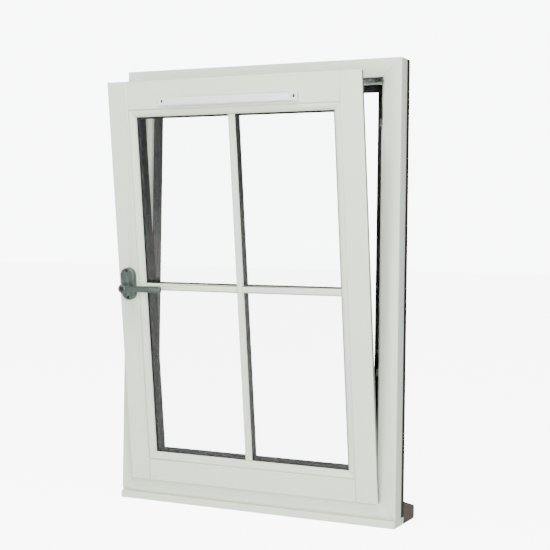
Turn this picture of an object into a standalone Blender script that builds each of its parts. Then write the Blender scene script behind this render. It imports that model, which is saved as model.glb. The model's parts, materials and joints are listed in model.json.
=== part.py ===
"""Tilt-and-turn window: wood frame with outer metal cladding, glazed sash and lever handle.

X runs to the right seen from the room, Y runs outdoors, Z runs up. The origin is on the
bottom face, midway across the width, in the plane of the frame's room face.
The sash is modelled closed and then leant into the room about its tilt axis.
"""
from math import asin, atan2, cos, degrees, hypot, radians, sin

import bmesh
import bpy
from mathutils import Matrix, Vector

# ---------------------------------------------------------------- driving sizes (metres)
FRAME_WIDTH = 0.748
FRAME_HEIGHT = 1.100
FRAME_DEPTH = 0.059
WOOD_DEPTH = 0.040
FRONT_FACE = 0.046
STEP_FACE = 0.058
STOP_FACE = 0.074
STEP_DEPTH = 0.028
STOP_DEPTH = 0.044
FRAME_ROUND = 0.0025

BASE_HEIGHT = 0.018
BASE_PROUD = 0.0045
GROOVE_HEIGHT = 0.006
GROOVE_DEPTH = 0.005
SILL_PROJECTION = 0.077
SILL_BACK_HEIGHT = 0.054
SILL_TIP_HEIGHT = 0.033
SILL_ROUND = 0.005

SASH_MARGIN = 0.038
SASH_PROUD = 0.016
LIP_GAP = 0.003
AIR_GAP = 0.012
SASH_BACK = 0.0405
CLADDING_GAP = 0.006
CLADDING_ROUND = 0.001
STILE_FACE = 0.055
TOP_RAIL_FACE = 0.070
BEAD_WIDTH = 0.018
BEAD_BACK_GAP = 0.0015
SASH_ROUND = 0.0015

TILT_DEGREES = 8.2
TURN_INSET = 0.0068
LIP_CHAMFER = 0.0036
PIVOT_DEPTH = 0.009
TILT_RISE = 0.016

GLASS_FRONT = -0.003
PANE_THICKNESS = 0.004
UNIT_THICKNESS = 0.024
GLASS_COVER = 0.014
SPACER_WIDTH = 0.0075
SPACER_INSET = 0.0125
SEAL_WIDTH = 0.010
SEAL_DEPTH = 0.0027

BAR_WIDTH = 0.018
INNER_BAR_DEPTH = 0.0070
OUTER_BAR_DEPTH = 0.0055
BAR_CENTRE_X = -0.0015
BAR_RISE = 0.0015

GEARBOX_BACKSET = 0.011
SPINDLE_RISE = -0.005
SPINDLE_SIDE = 0.007
ROSETTE_WIDTH = 0.039
ROSETTE_HEIGHT = 0.081
ROSETTE_DEPTH = 0.013
ROSETTE_SCREW_RISE = 0.0335
ROSETTE_RISE = 0.008
BOSS_RADIUS = 0.0112
BOSS_PROJECTION = 0.041
LEVER_LENGTH = 0.1085
LEVER_ROOT_HEIGHT = 0.015
LEVER_TIP_HEIGHT = 0.0165
LEVER_TIP_ROUND = 0.0055
LEVER_THICKNESS = 0.0095
LEVER_SETBACK = 0.003
KEY_RADIUS = 0.0054
KEY_RECESS = 0.0035
KEY_LENGTH = 0.0105
NOTCH_LOW = 0.0020

HARDWARE_CENTRE = 0.012
PLATE_WIDTH = 0.016
PLATE_THICKNESS = 0.0017
ROD_WIDTH = 0.010
ROD_THICKNESS = 0.0028
ROD_TRAVEL = 0.016
CAM_RADIUS = 0.0045
KEEP_THICKNESS = 0.0025
KEEP_LENGTH = 0.054
KEEP_FRONT = 0.0035
TILT_WALL_THICKNESS = 0.0025
TILT_CAM_RISE = 0.032
LEFT_CAM_RISE = 0.126
LEFT_CAM_DROP = 0.102
RIGHT_CAM_SINK = 0.177
RIGHT_CAM_DROP = 0.097
ROD_END = 0.012
ROD_TOP_END = 0.030
TOP_ROD_HALF = 0.062
GEARBOX_HEIGHT = 0.120
GEARBOX_WIDTH = 0.024
GEARBOX_THICKNESS = 0.013
HUB_RADIUS = 0.0057

ARM_SHARE = 0.52
ARM_WIDTH = 0.014
ARM_THICKNESS = 0.0065
PIN_RADIUS = 0.002
KNUCKLE_RADIUS = 0.0037
STAY_PIN_RADIUS = 0.003
STAY_PIN_LIFT = 0.003

VENT_CENTRE_X = -0.003
VENT_DROP = 0.052
VENT_LENGTH = 0.366
VENT_HEIGHT = 0.0195
VENT_DEPTH = 0.011
VENT_SCREW_RADIUS = 0.0036
VENT_SCREW_SPACING = 0.348
VENT_CAP = 0.018

# ---------------------------------------------------------------- small features
GASKET_SHORT = 0.003
BASE_ROUND = 0.001
KEEP_HALF = 0.010
KEEP_WALL_RISE = 0.005
KEEP_WALL_AHEAD = 0.009
KEEP_WALL_BEHIND = 0.003
KEEP_CAM_ROOM = 0.002
LOCK_WALL_FRONT = 0.0045
CAM_SHORT = 0.002
WEB_HALF = 0.003
BRACKET_LENGTH = 0.070
BRACKET_FRONT = 0.005
BRACKET_BACK = 0.025
BRACKET_BEVEL = 0.010
BRACKET_INSET = 0.006
BRACKET_ROOT_Y = 0.009
KNEE_INSET = 0.012
CARRIER_HEIGHT = 0.009
AXLE_START = 0.003
AXLE_RADIUS = 0.003
AXLE_LENGTH = 0.028
AXLE_HOLE_CENTRE = 0.024
AXLE_HOLE_LENGTH = 0.034
ARM_FRONT_CUT = 0.002
ARM_HEEL = 0.002
SLOT_BEFORE = 0.012
SLOT_AFTER = 0.045
SLOT_WIDTH = 0.012
NOTCH_LOW_HEIGHT = 0.0135
NOTCH_HIGH_DROP = 0.008
NOTCH_HIGH_RISE = 0.007
NOTCH_WIDTH = 0.015
SPACER_LIP = 0.005
SPACER_BODY = 0.0065
SEAL_INSET = 0.002
BEAD_QUIRK = 0.0025
BEAD_CROWN = 0.0005
BEAD_FILLET = 0.002
BEAD_NOSE = 0.006
BEAD_NOSE_DEPTH = 0.0095
BAR_SLOPE = 0.004
BAR_SHOULDER = 0.35
HUB_SHORT = 0.001
SPINDLE_HOLE_RADIUS = 0.0065
SPINDLE_HOLE_LENGTH = 0.034
ROSETTE_ROUND = 0.0025
ROSETTE_HOLE_RADIUS = 0.0075
ROSETTE_SCREW_RADIUS = 0.0036
SCREW_SINK = 0.0015
LEVER_ROUND = 0.0022
SQUARE_DEPTH = 0.008
SLIT_HALF = 0.0008
SLIT_REACH = 0.003
SLIT_PAST = 0.002
SLIT_DEPTH = 0.006
SPINDLE_SEAT = 0.0075
SPINDLE_TAIL = 0.006
VENT_FLOOR = 0.002
FLAP_INSET = 0.0028
FLAP_ROUND = 0.0024
FLAP_TOE_RISE = 0.0022
FLAP_FOOT = 0.006

# ---------------------------------------------------------------- clearances
JOINT_GAP = 0.0003
RUN_GAP = 0.0005
PIN_GAP = 0.0003
NOTCH_GAP = 0.0016
ARM_LIFT = 0.0012
SKIN = 0.0001
CUT_OVER = 0.001
CUT_PAST = 0.010
BORE_LENGTH = 0.040
WELL_LENGTH = 0.030
BAR_CUT_REACH = 0.020

# ---------------------------------------------------------------- sizes that follow
FRAME_LEFT = -FRAME_WIDTH / 2
FRAME_RIGHT = FRAME_WIDTH / 2
REBATE_RIGHT = FRAME_RIGHT - FRONT_FACE
REBATE_BOTTOM = BASE_HEIGHT + FRONT_FACE
REBATE_TOP = FRAME_HEIGHT - FRONT_FACE
SASH_RIGHT = FRAME_RIGHT - SASH_MARGIN
SASH_BOTTOM = BASE_HEIGHT + SASH_MARGIN
SASH_TOP = FRAME_HEIGHT - SASH_MARGIN
LIP_WIDTH = FRONT_FACE - SASH_MARGIN + AIR_GAP
BODY_RIGHT = SASH_RIGHT - LIP_WIDTH
BODY_BOTTOM = SASH_BOTTOM + LIP_WIDTH
BODY_TOP = SASH_TOP - LIP_WIDTH
POCKET_RIGHT = SASH_RIGHT - STILE_FACE
POCKET_BOTTOM = SASH_BOTTOM + STILE_FACE
POCKET_TOP = SASH_TOP - TOP_RAIL_FACE
SIGHT_RIGHT = POCKET_RIGHT - BEAD_WIDTH
SIGHT_BOTTOM = POCKET_BOTTOM + BEAD_WIDTH
SIGHT_TOP = POCKET_TOP - BEAD_WIDTH
GLASS_BACK = GLASS_FRONT + UNIT_THICKNESS
SASH_WOOD_BACK = GLASS_BACK + SEAL_DEPTH + JOINT_GAP
CLADDING_INSET = STEP_FACE - SASH_MARGIN + CLADDING_GAP
TURN_X = SASH_RIGHT - TURN_INSET
PIVOT_Y = -PIVOT_DEPTH
TILT_HEIGHT = SASH_BOTTOM + TILT_RISE
SASH_FRONT = -SASH_PROUD
ARM_LENGTH = ARM_SHARE * 2 * SASH_RIGHT
ARM_Z = BODY_TOP + ARM_LIFT + ARM_THICKNESS / 2
BEAD_BACK = GLASS_FRONT - BEAD_BACK_GAP
BAR_CENTRE_Z = (SIGHT_BOTTOM + SIGHT_TOP) / 2 + BAR_RISE
SPINDLE_X = GEARBOX_BACKSET - BODY_RIGHT
SPINDLE_Z = (SASH_BOTTOM + SASH_TOP) / 2 + SPINDLE_RISE
CAM_HEIGHTS_LEFT = (BODY_BOTTOM + TILT_CAM_RISE, SPINDLE_Z + LEFT_CAM_RISE, SASH_TOP - LEFT_CAM_DROP)
CAM_HEIGHTS_RIGHT = (SPINDLE_Z - RIGHT_CAM_SINK, SASH_TOP - RIGHT_CAM_DROP)
TOP_CAM_X = (TURN_X - ARM_LENGTH - POCKET_RIGHT) / 2
LEANT_CAM_Y = (PIVOT_Y + (HARDWARE_CENTRE - PIVOT_Y) * cos(radians(TILT_DEGREES))
               - (CAM_HEIGHTS_LEFT[0] + CAM_RADIUS - TILT_HEIGHT) * sin(radians(TILT_DEGREES)))
TILT_WALL_BACK = LEANT_CAM_Y - CAM_RADIUS - JOINT_GAP
TILT_WALL_FRONT = TILT_WALL_BACK - TILT_WALL_THICKNESS
VENT_CENTRE_Z = SASH_TOP - VENT_DROP
BRACKET_THICKNESS = 0.003
BRACKET_LOW = REBATE_BOTTOM + JOINT_GAP
BRACKET_HIGH = REBATE_TOP - JOINT_GAP - BRACKET_THICKNESS
SLOT_DEPTH = 0.014

parts = None
cutters = None
materials = {}


# ---------------------------------------------------------------- scene and materials
def clear_scene():
    """Remove every object of the starting scene."""
    for item in list(bpy.data.objects):
        bpy.data.objects.remove(item, do_unlink=True)


def make_collection(name):
    """Add a collection of this name to the scene."""
    collection = bpy.data.collections.new(name)
    bpy.context.scene.collection.children.link(collection)
    return collection


def material(name, color, roughness, metallic=0.0, transmission=0.0):
    """Return the Principled material of this name, made once."""
    if name not in materials:
        made = bpy.data.materials.new(name)
        made.use_nodes = True
        shader = made.node_tree.nodes["Principled BSDF"]
        shader.inputs["Base Color"].default_value = (*color, 1.0)
        shader.inputs["Roughness"].default_value = roughness
        shader.inputs["Metallic"].default_value = metallic
        shader.inputs["Transmission Weight"].default_value = transmission
        materials[name] = made
    return materials[name]


def white_paint():
    """Paint of the wood."""
    return material("white_paint", (0.80, 0.81, 0.78), 0.38)


def dark_cladding():
    """Coating of the outer metal strips."""
    return material("dark_cladding", (0.030, 0.024, 0.021), 0.45, 0.3)


def sill_brown():
    """Stain of the outer sill."""
    return material("sill_brown", (0.115, 0.075, 0.055), 0.5)


def black_rubber():
    """Rubber of the seals."""
    return material("black_rubber", (0.02, 0.02, 0.02), 0.7)


def zinc_plate():
    """Plating of the hidden hardware."""
    return material("zinc_plate", (0.55, 0.56, 0.57), 0.35, 1.0)


def satin_zinc():
    """Finish of the lever and its plate."""
    return material("satin_zinc", (0.24, 0.27, 0.255), 0.32, 1.0)


def black_cylinder():
    """Finish of the lock and the screws."""
    return material("black_cylinder", (0.012, 0.012, 0.012), 0.3)


def clear_glass():
    """Glass of the panes."""
    return material("clear_glass", (0.9, 0.95, 0.93), 0.02, 0.0, 1.0)


def spacer_black():
    """Finish of the spacer between the panes."""
    return material("spacer_black", (0.035, 0.033, 0.03), 0.5)


def white_plastic():
    """Plastic of the vent."""
    return material("white_plastic", (0.82, 0.83, 0.80), 0.3)


# ---------------------------------------------------------------- building blocks
def add_part(name, bm, surface, smooth=False):
    """Turn a bmesh into a named part with its own material."""
    mesh = bpy.data.meshes.new(name)
    bmesh.ops.recalc_face_normals(bm, faces=bm.faces)
    bm.to_mesh(mesh)
    bm.free()
    mesh.materials.append(surface)
    if smooth:
        mesh.shade_smooth()
        mesh.set_sharp_from_angle(angle=radians(35))
    made = bpy.data.objects.new(name, mesh)
    parts.objects.link(made)
    return made


def add_cutter(name, bm):
    """Make a cutter in the collection that is kept out of the render."""
    mesh = bpy.data.meshes.new(name)
    bmesh.ops.recalc_face_normals(bm, faces=bm.faces)
    bm.to_mesh(mesh)
    bm.free()
    made = bpy.data.objects.new(name, mesh)
    made.hide_render = True
    made.display_type = "WIRE"
    cutters.objects.link(made)
    return made


def box_mesh(low, high):
    """A box between two corners, as a bmesh."""
    bm = bmesh.new()
    bmesh.ops.create_cube(bm, size=1.0)
    size = Vector(high) - Vector(low)
    middle = (Vector(high) + Vector(low)) / 2
    bmesh.ops.scale(bm, vec=size, verts=bm.verts)
    bmesh.ops.translate(bm, vec=middle, verts=bm.verts)
    return bm


def cylinder_mesh(centre, axis, radius, length, segments=24):
    """A cylinder or cone with its middle at centre and its length along axis."""
    bm = bmesh.new()
    turn = Vector((0, 0, 1)).rotation_difference(Vector(axis)).to_matrix().to_4x4()
    bmesh.ops.create_cone(
        bm, cap_ends=True, segments=segments, radius1=radius,
        radius2=radius, depth=length,
        matrix=Matrix.Translation(centre) @ turn)
    return bm


def prism_mesh(outline, start, end, axis):
    """Extrude a flat outline from start to end along X, Y or Z.

    The outline's two numbers are the other two axes, in X, Y, Z order.
    """
    bm = bmesh.new()
    slots = [i for i in range(3) if i != "XYZ".index(axis)]
    verts = []
    for first, second in outline:
        place = [0.0, 0.0, 0.0]
        place["XYZ".index(axis)] = start
        place[slots[0]] = first
        place[slots[1]] = second
        verts.append(bm.verts.new(place))
    face = bm.faces.new(verts)
    grown = bmesh.ops.extrude_face_region(bm, geom=[face])
    moved = [item for item in grown["geom"] if isinstance(item, bmesh.types.BMVert)]
    shift = Vector((0, 0, 0))
    shift["XYZ".index(axis)] = end - start
    bmesh.ops.translate(bm, vec=shift, verts=moved)
    return bm


def cut(target, cutter):
    """Take a cutter away from a target."""
    change = target.modifiers.new("cut_" + cutter.name, "BOOLEAN")
    change.operation = "DIFFERENCE"
    change.solver = "EXACT"
    change.object = cutter


def join(target, extra):
    """Add a cutter to a target."""
    change = target.modifiers.new("join_" + extra.name, "BOOLEAN")
    change.operation = "UNION"
    change.solver = "EXACT"
    change.object = extra


def soften(target, width, segments=2):
    """Bevel the sharp edges of a part."""
    change = target.modifiers.new("soft_edges", "BEVEL")
    change.width = width
    change.segments = segments
    change.limit_method = "ANGLE"
    change.angle_limit = radians(40)


def arc(centre, radius, start, end, steps):
    """Points on an arc, in degrees, both ends included."""
    angles = [radians(start + (end - start) * i / steps) for i in range(steps + 1)]
    return [(centre[0] + radius * cos(a), centre[1] + radius * sin(a)) for a in angles]


def mitred_bar(name, profile, rectangle, side, surface, gap=JOINT_GAP / 2, smooth=False):
    """One side of a mitred ring around a rectangle (left, bottom, right, top).

    The profile's points are (distance inward from the rectangle, y).
    """
    left, bottom, right, top = rectangle
    upright = side in ("left", "right")
    start, end = (bottom, top) if upright else (left, right)
    base = {"left": left, "right": right, "bottom": bottom, "top": top}[side]
    inward = 1 if side in ("left", "bottom") else -1
    if upright:
        outline = [(base + inward * u, y) for u, y in profile]
        bm = prism_mesh(outline, start, end, "Z")
    else:
        outline = [(y, base + inward * u) for u, y in profile]
        bm = prism_mesh(outline, start, end, "X")
    along, across = (2, 0) if upright else (0, 2)
    middle = (start + end) / 2
    for vertex in bm.verts:
        u = abs(vertex.co[across] - base) + gap
        vertex.co[along] += u if vertex.co[along] < middle else -u
    return add_part(name, bm, surface, smooth)


def mitred_ring(name, profile, rectangle, surface):
    """A whole ring with mitred corners as one body, for seals and spacers."""
    left, bottom, right, top = rectangle
    bm = bmesh.new()
    corners = ((left, bottom, 1, 1), (right, bottom, -1, 1), (right, top, -1, -1), (left, top, 1, -1))
    loops = []
    for x, z, turn_x, turn_z in corners:
        loops.append([bm.verts.new((x + turn_x * u, y, z + turn_z * u)) for u, y in profile])
    count = len(profile)
    for here, there in zip(loops, loops[1:] + loops[:1]):
        for i in range(count):
            j = (i + 1) % count
            bm.faces.new((here[i], here[j], there[j], there[i]))
    return add_part(name, bm, surface)


def rectangle_profile(near, far, front, back):
    """Return a four-cornered ring profile."""
    return [(near, front), (far, front), (far, back), (near, back)]


# ---------------------------------------------------------------- fixed frame
def make_frame():
    """Wood head, jambs and bottom rail with mitred corners, each with its metal cladding."""
    around = (FRAME_LEFT, BASE_HEIGHT, FRAME_RIGHT, FRAME_HEIGHT)
    r = FRAME_ROUND
    wood = arc((r, r), r, 180, 270, 3) + arc((FRONT_FACE - r, r), r, 270, 360, 3)
    wood += [(FRONT_FACE, STEP_DEPTH), (STEP_FACE, STEP_DEPTH), (STEP_FACE, WOOD_DEPTH), (0, WOOD_DEPTH)]
    front = WOOD_DEPTH + JOINT_GAP
    metal = [(0, front), (STEP_FACE, front), (STEP_FACE, STOP_DEPTH), (STOP_FACE, STOP_DEPTH)]
    metal += [(STOP_FACE, FRAME_DEPTH), (0, FRAME_DEPTH)]
    names = {"top": "head", "left": "left_jamb", "right": "right_jamb", "bottom": "bottom_rail"}
    made = {}
    for side, title in names.items():
        made[side] = mitred_bar("frame_" + title, wood, around, side, white_paint())
        mitred_bar("cladding_" + title, metal, around, side, dark_cladding())
    low, high = BASE_HEIGHT - CUT_OVER, BASE_HEIGHT + GROOVE_HEIGHT
    for side in ("bottom", "left", "right"):
        groove = box_mesh((FRAME_LEFT - CUT_PAST, -CUT_PAST, low), (FRAME_RIGHT + CUT_PAST,
                                                                    GROOVE_DEPTH, high))
        cut(made[side], add_cutter("groove_" + side, groove))
    gasket = rectangle_profile(STEP_FACE + JOINT_GAP, STOP_FACE - GASKET_SHORT, SASH_BACK + RUN_GAP,
                               STOP_DEPTH - JOINT_GAP)
    mitred_ring("frame_gasket", gasket, around, black_rubber())


def make_base_and_sill():
    """White strip under the frame and the brown outer sill behind it."""
    base = box_mesh((FRAME_LEFT, -BASE_PROUD, 0), (FRAME_RIGHT, FRAME_DEPTH, BASE_HEIGHT - JOINT_GAP))
    soften(add_part("base_strip", base, white_paint()), BASE_ROUND, 1)
    front = FRAME_DEPTH + JOINT_GAP
    tip = FRAME_DEPTH + SILL_PROJECTION
    r = SILL_ROUND
    outline = [(front, 0), (tip - r, 0)]
    outline += arc((tip - r, r), r, 270, 360, 3)[1:]
    outline += arc((tip - r, SILL_TIP_HEIGHT - r), r, 0, 75, 3)
    outline += [(front, SILL_BACK_HEIGHT)]
    add_part("outer_sill", prism_mesh(outline, FRAME_LEFT, FRAME_RIGHT, "X"), sill_brown())


def make_keep(name, cam, wall_front, wall_back, wall_low, wall_high, side):
    """A keep on the frame's rebate: a base plate with one wall that the cam slides behind."""
    back = HARDWARE_CENTRE + KEEP_HALF
    half = KEEP_LENGTH / 2
    reach = KEEP_THICKNESS + KEEP_WALL_RISE
    face = JOINT_GAP
    plate_front = min(KEEP_FRONT, wall_front)
    if side == "top":
        high = REBATE_TOP - face
        plate = box_mesh((cam - half, plate_front, high - KEEP_THICKNESS), (cam + half, back, high))
        wall = box_mesh((cam + wall_low, wall_front, high - reach),
                        (cam + wall_high, wall_back, high - KEEP_THICKNESS / 2))
    else:
        sign = -1 if side == "left" else 1
        outer = sign * (REBATE_RIGHT - face)
        inner = sign * (REBATE_RIGHT - face - KEEP_THICKNESS)
        tip = sign * (REBATE_RIGHT - face - reach)
        seat = sign * (REBATE_RIGHT - face - KEEP_THICKNESS / 2)
        plate = box_mesh((min(outer, inner), plate_front, cam - half), (max(outer, inner), back,
                                                                        cam + half))
        wall = box_mesh((min(tip, seat), wall_front, cam + wall_low),
                        (max(tip, seat), wall_back, cam + wall_high))
    made = add_part(name, plate, zinc_plate())
    join(made, add_cutter(name + "_wall", wall))


def make_keeps():
    """Cams slide down or to the left to lock, so each wall is on that side of its cam."""
    locked_low = -ROD_TRAVEL - KEEP_WALL_AHEAD
    locked_high = -CAM_RADIUS - KEEP_WALL_BEHIND
    wall_front = LOCK_WALL_FRONT
    wall_back = HARDWARE_CENTRE - CAM_RADIUS - RUN_GAP
    names = ("tilt_keep", "left_keep_middle", "left_keep_upper")
    for name, height in zip(names, CAM_HEIGHTS_LEFT):
        if name == "tilt_keep":
            make_keep(name, height, TILT_WALL_FRONT, TILT_WALL_BACK, locked_low,
                      CAM_RADIUS + KEEP_CAM_ROOM, "left")
        else:
            make_keep(name, height, wall_front, wall_back, locked_low, locked_high, "left")
    for name, height in zip(("right_keep_middle", "right_keep_upper"), CAM_HEIGHTS_RIGHT):
        make_keep(name, height, wall_front, wall_back, locked_low, locked_high, "right")
    make_keep("head_keep", TOP_CAM_X, wall_front, wall_back, locked_low, locked_high, "top")


def make_bracket(name, low, pin_low, pin_high):
    """A corner bracket in the rebate whose arm reaches forward to the upright pin."""
    half = WEB_HALF
    plate = [(REBATE_RIGHT - BRACKET_LENGTH, BRACKET_FRONT), (REBATE_RIGHT - BRACKET_BEVEL,
                                                              BRACKET_FRONT),
             (REBATE_RIGHT - BRACKET_INSET, BRACKET_ROOT_Y + WEB_HALF), (REBATE_RIGHT - BRACKET_INSET,
                                                                         BRACKET_BACK),
             (REBATE_RIGHT - BRACKET_LENGTH, BRACKET_BACK)]
    made = add_part(name, prism_mesh(plate, low, low + BRACKET_THICKNESS, "Z"), zinc_plate())
    root = Vector((REBATE_RIGHT - KNEE_INSET, BRACKET_ROOT_Y, 0))
    tip = Vector((TURN_X, PIVOT_Y, 0))
    along = (tip - root).normalized()
    side = Vector((-along.y, along.x, 0)) * half
    outline = [root - side, tip - side, tip + side, root + side]
    outline = [(point.x, point.y) for point in outline]
    arm = prism_mesh(outline, low + SKIN, low + BRACKET_THICKNESS - SKIN, "Z")
    join(made, add_cutter(name + "_arm", arm))
    eye = cylinder_mesh((TURN_X, PIVOT_Y, low + BRACKET_THICKNESS / 2), (0, 0, 1), KNUCKLE_RADIUS,
                        BRACKET_THICKNESS - 4 * SKIN)
    join(made, add_cutter(name + "_eye", eye))
    pin = cylinder_mesh((TURN_X, PIVOT_Y, (pin_low + pin_high) / 2), (0, 0, 1), PIN_RADIUS,
                        pin_high - pin_low)
    join(made, add_cutter(name + "_pin", pin))


def make_hinges():
    """Lower and upper brackets, the hinge carrier and the stay arm, all on one upright axis."""
    carrier_low = BRACKET_LOW + BRACKET_THICKNESS + JOINT_GAP
    carrier_high = carrier_low + CARRIER_HEIGHT
    make_bracket("lower_hinge_bracket", BRACKET_LOW, BRACKET_LOW + CUT_OVER, carrier_high - CUT_OVER)
    knuckle = cylinder_mesh((TURN_X, PIVOT_Y, (carrier_low + carrier_high) / 2), (0, 0, 1),
                            KNUCKLE_RADIUS, carrier_high - carrier_low)
    carrier = add_part("hinge_carrier", knuckle, zinc_plate())
    axle = cylinder_mesh((TURN_X - AXLE_START - AXLE_LENGTH / 2, PIVOT_Y, TILT_HEIGHT), (1, 0, 0),
                         AXLE_RADIUS, AXLE_LENGTH)
    join(carrier, add_cutter("carrier_axle", axle))
    bore = cylinder_mesh((TURN_X, PIVOT_Y, carrier_low), (0, 0, 1), PIN_RADIUS + PIN_GAP, BORE_LENGTH)
    cut(carrier, add_cutter("carrier_bore", bore))
    arm_low = ARM_Z - ARM_THICKNESS / 2
    make_bracket("upper_hinge_bracket", BRACKET_HIGH, arm_low - CUT_OVER, BRACKET_HIGH + CUT_OVER)
    return carrier


def stay_swing():
    """Angle in degrees that brings the arm's end pin to the slot in the leaning sash."""
    across = HARDWARE_CENTRE + PIVOT_DEPTH
    reach = hypot(ARM_LENGTH, across)
    lean = radians(TILT_DEGREES)
    pin_height = (BODY_TOP - SLOT_DEPTH + STAY_PIN_LIFT - TILT_HEIGHT - across * sin(lean)) / cos(lean)
    slot_y = across * cos(lean) - pin_height * sin(lean)
    return degrees(atan2(across, ARM_LENGTH) - asin(slot_y / reach))


def make_stay_arm():
    """The stay arm folded along the head, then swung out as far as the tilt needs."""
    low = ARM_Z - ARM_THICKNESS / 2
    high = low + ARM_THICKNESS
    start = Vector((TURN_X, PIVOT_Y))
    knee = Vector((REBATE_RIGHT - KNEE_INSET, BRACKET_ROOT_Y))
    along = (start - knee).normalized()
    side = Vector((-along.y, along.x)) * WEB_HALF
    far = TURN_X - ARM_LENGTH
    front = HARDWARE_CENTRE - ARM_WIDTH / 2 + ARM_FRONT_CUT
    back = HARDWARE_CENTRE + ARM_WIDTH / 2
    blade = arc((far, (front + back) / 2), (back - front) / 2, 90, 270, 8)
    blade += [(knee.x - KNEE_INSET, front), (knee.x + ARM_HEEL, front), (knee.x + ARM_HEEL,
                                                                         back - 2 * ARM_HEEL),
              (knee.x - ARM_HEEL, back)]
    arm = add_part("stay_arm", prism_mesh(blade, low, high, "Z"), zinc_plate())
    crank = [knee - side - along * WEB_HALF, start - side, start + side, knee + side - along * WEB_HALF]
    crank = [(point.x, point.y) for point in crank]
    join(arm, add_cutter("stay_crank", prism_mesh(crank, low + SKIN, high - SKIN, "Z")))
    eye = cylinder_mesh((*start, ARM_Z), (0, 0, 1), KNUCKLE_RADIUS, ARM_THICKNESS - 4 * SKIN)
    join(arm, add_cutter("stay_eye", eye))
    bore = cylinder_mesh((*start, ARM_Z), (0, 0, 1), PIN_RADIUS + PIN_GAP, BORE_LENGTH)
    cut(arm, add_cutter("stay_bore", bore))
    pin_low = BODY_TOP - SLOT_DEPTH + STAY_PIN_LIFT
    pin = cylinder_mesh((far, HARDWARE_CENTRE, (pin_low + low + CUT_OVER) / 2), (0, 0, 1),
                        STAY_PIN_RADIUS,
                        low + CUT_OVER - pin_low, 16)
    join(arm, add_cutter("stay_pin", pin))
    spin_about(("stay_arm", "stay_crank", "stay_eye", "stay_bore", "stay_pin"), "stay_axis",
               (TURN_X, PIVOT_Y, ARM_Z), (0, 0, radians(stay_swing())))


def spin_about(names, empty_name, pivot, angles):
    """Parent objects to an empty on an axis and turn the empty."""
    empty = bpy.data.objects.new(empty_name, None)
    parts.objects.link(empty)
    empty.location = pivot
    for name in names:
        item = bpy.data.objects[name]
        item.parent = empty
        item.matrix_parent_inverse = Matrix.Translation(pivot).inverted()
    empty.rotation_euler = angles
    return empty


# ---------------------------------------------------------------- sash
def make_sash_wood():
    """Full-height stiles and rails between them, with the lip cut on the outer sides."""
    deep = SASH_WOOD_BACK
    lip_back = -LIP_GAP
    past_all = SASH_RIGHT + CUT_PAST
    made = {}
    for side, sign in (("left", -1), ("right", 1)):
        inner, outer = sign * POCKET_RIGHT, sign * SASH_RIGHT
        bm = box_mesh((min(inner, outer), SASH_FRONT, SASH_BOTTOM), (max(inner, outer), deep, SASH_TOP))
        stile = add_part(f"sash_{side}_stile", bm, white_paint())
        soften(stile, SASH_ROUND, 1)
        edge, past = sign * BODY_RIGHT, sign * (SASH_RIGHT + CUT_PAST)
        slabs = {
            "side": ((min(edge, past), SASH_BOTTOM - CUT_PAST), (max(edge, past), SASH_TOP + CUT_PAST)),
            "low": ((-past_all, SASH_BOTTOM - CUT_PAST), (past_all, BODY_BOTTOM)),
            "high": ((-past_all, BODY_TOP), (past_all, SASH_TOP + CUT_PAST)),
        }
        for title, (low, high) in slabs.items():
            slab = box_mesh((low[0], lip_back, low[1]), (high[0], deep + CUT_PAST, high[1]))
            cut(stile, add_cutter(f"{side}_rebate_{title}", slab))
        over = sign * (SASH_RIGHT + JOINT_GAP)
        ease = [(over, lip_back - LIP_CHAMFER - JOINT_GAP), (over, lip_back + JOINT_GAP),
                (sign * (SASH_RIGHT - LIP_CHAMFER - JOINT_GAP), lip_back + JOINT_GAP)]
        edge_cut = prism_mesh(ease, SASH_BOTTOM - CUT_PAST, SASH_TOP + CUT_PAST, "Z")
        cut(stile, add_cutter(f"{side}_lip_chamfer", edge_cut))
        made[side] = stile
    span = POCKET_RIGHT - JOINT_GAP
    rails = {"bottom": (SASH_BOTTOM, BODY_BOTTOM, POCKET_BOTTOM), "top": (SASH_TOP, BODY_TOP,
                                                                          POCKET_TOP)}
    for side, (lip, body, pocket) in rails.items():
        outline = [(SASH_FRONT, lip), (SASH_FRONT, pocket), (deep, pocket), (deep, body),
                   (lip_back, body), (lip_back, lip)]
        made[side] = add_part(f"sash_{side}_rail", prism_mesh(outline, -span, span, "X"), white_paint())
        soften(made[side], SASH_ROUND, 1)
    return made


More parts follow.
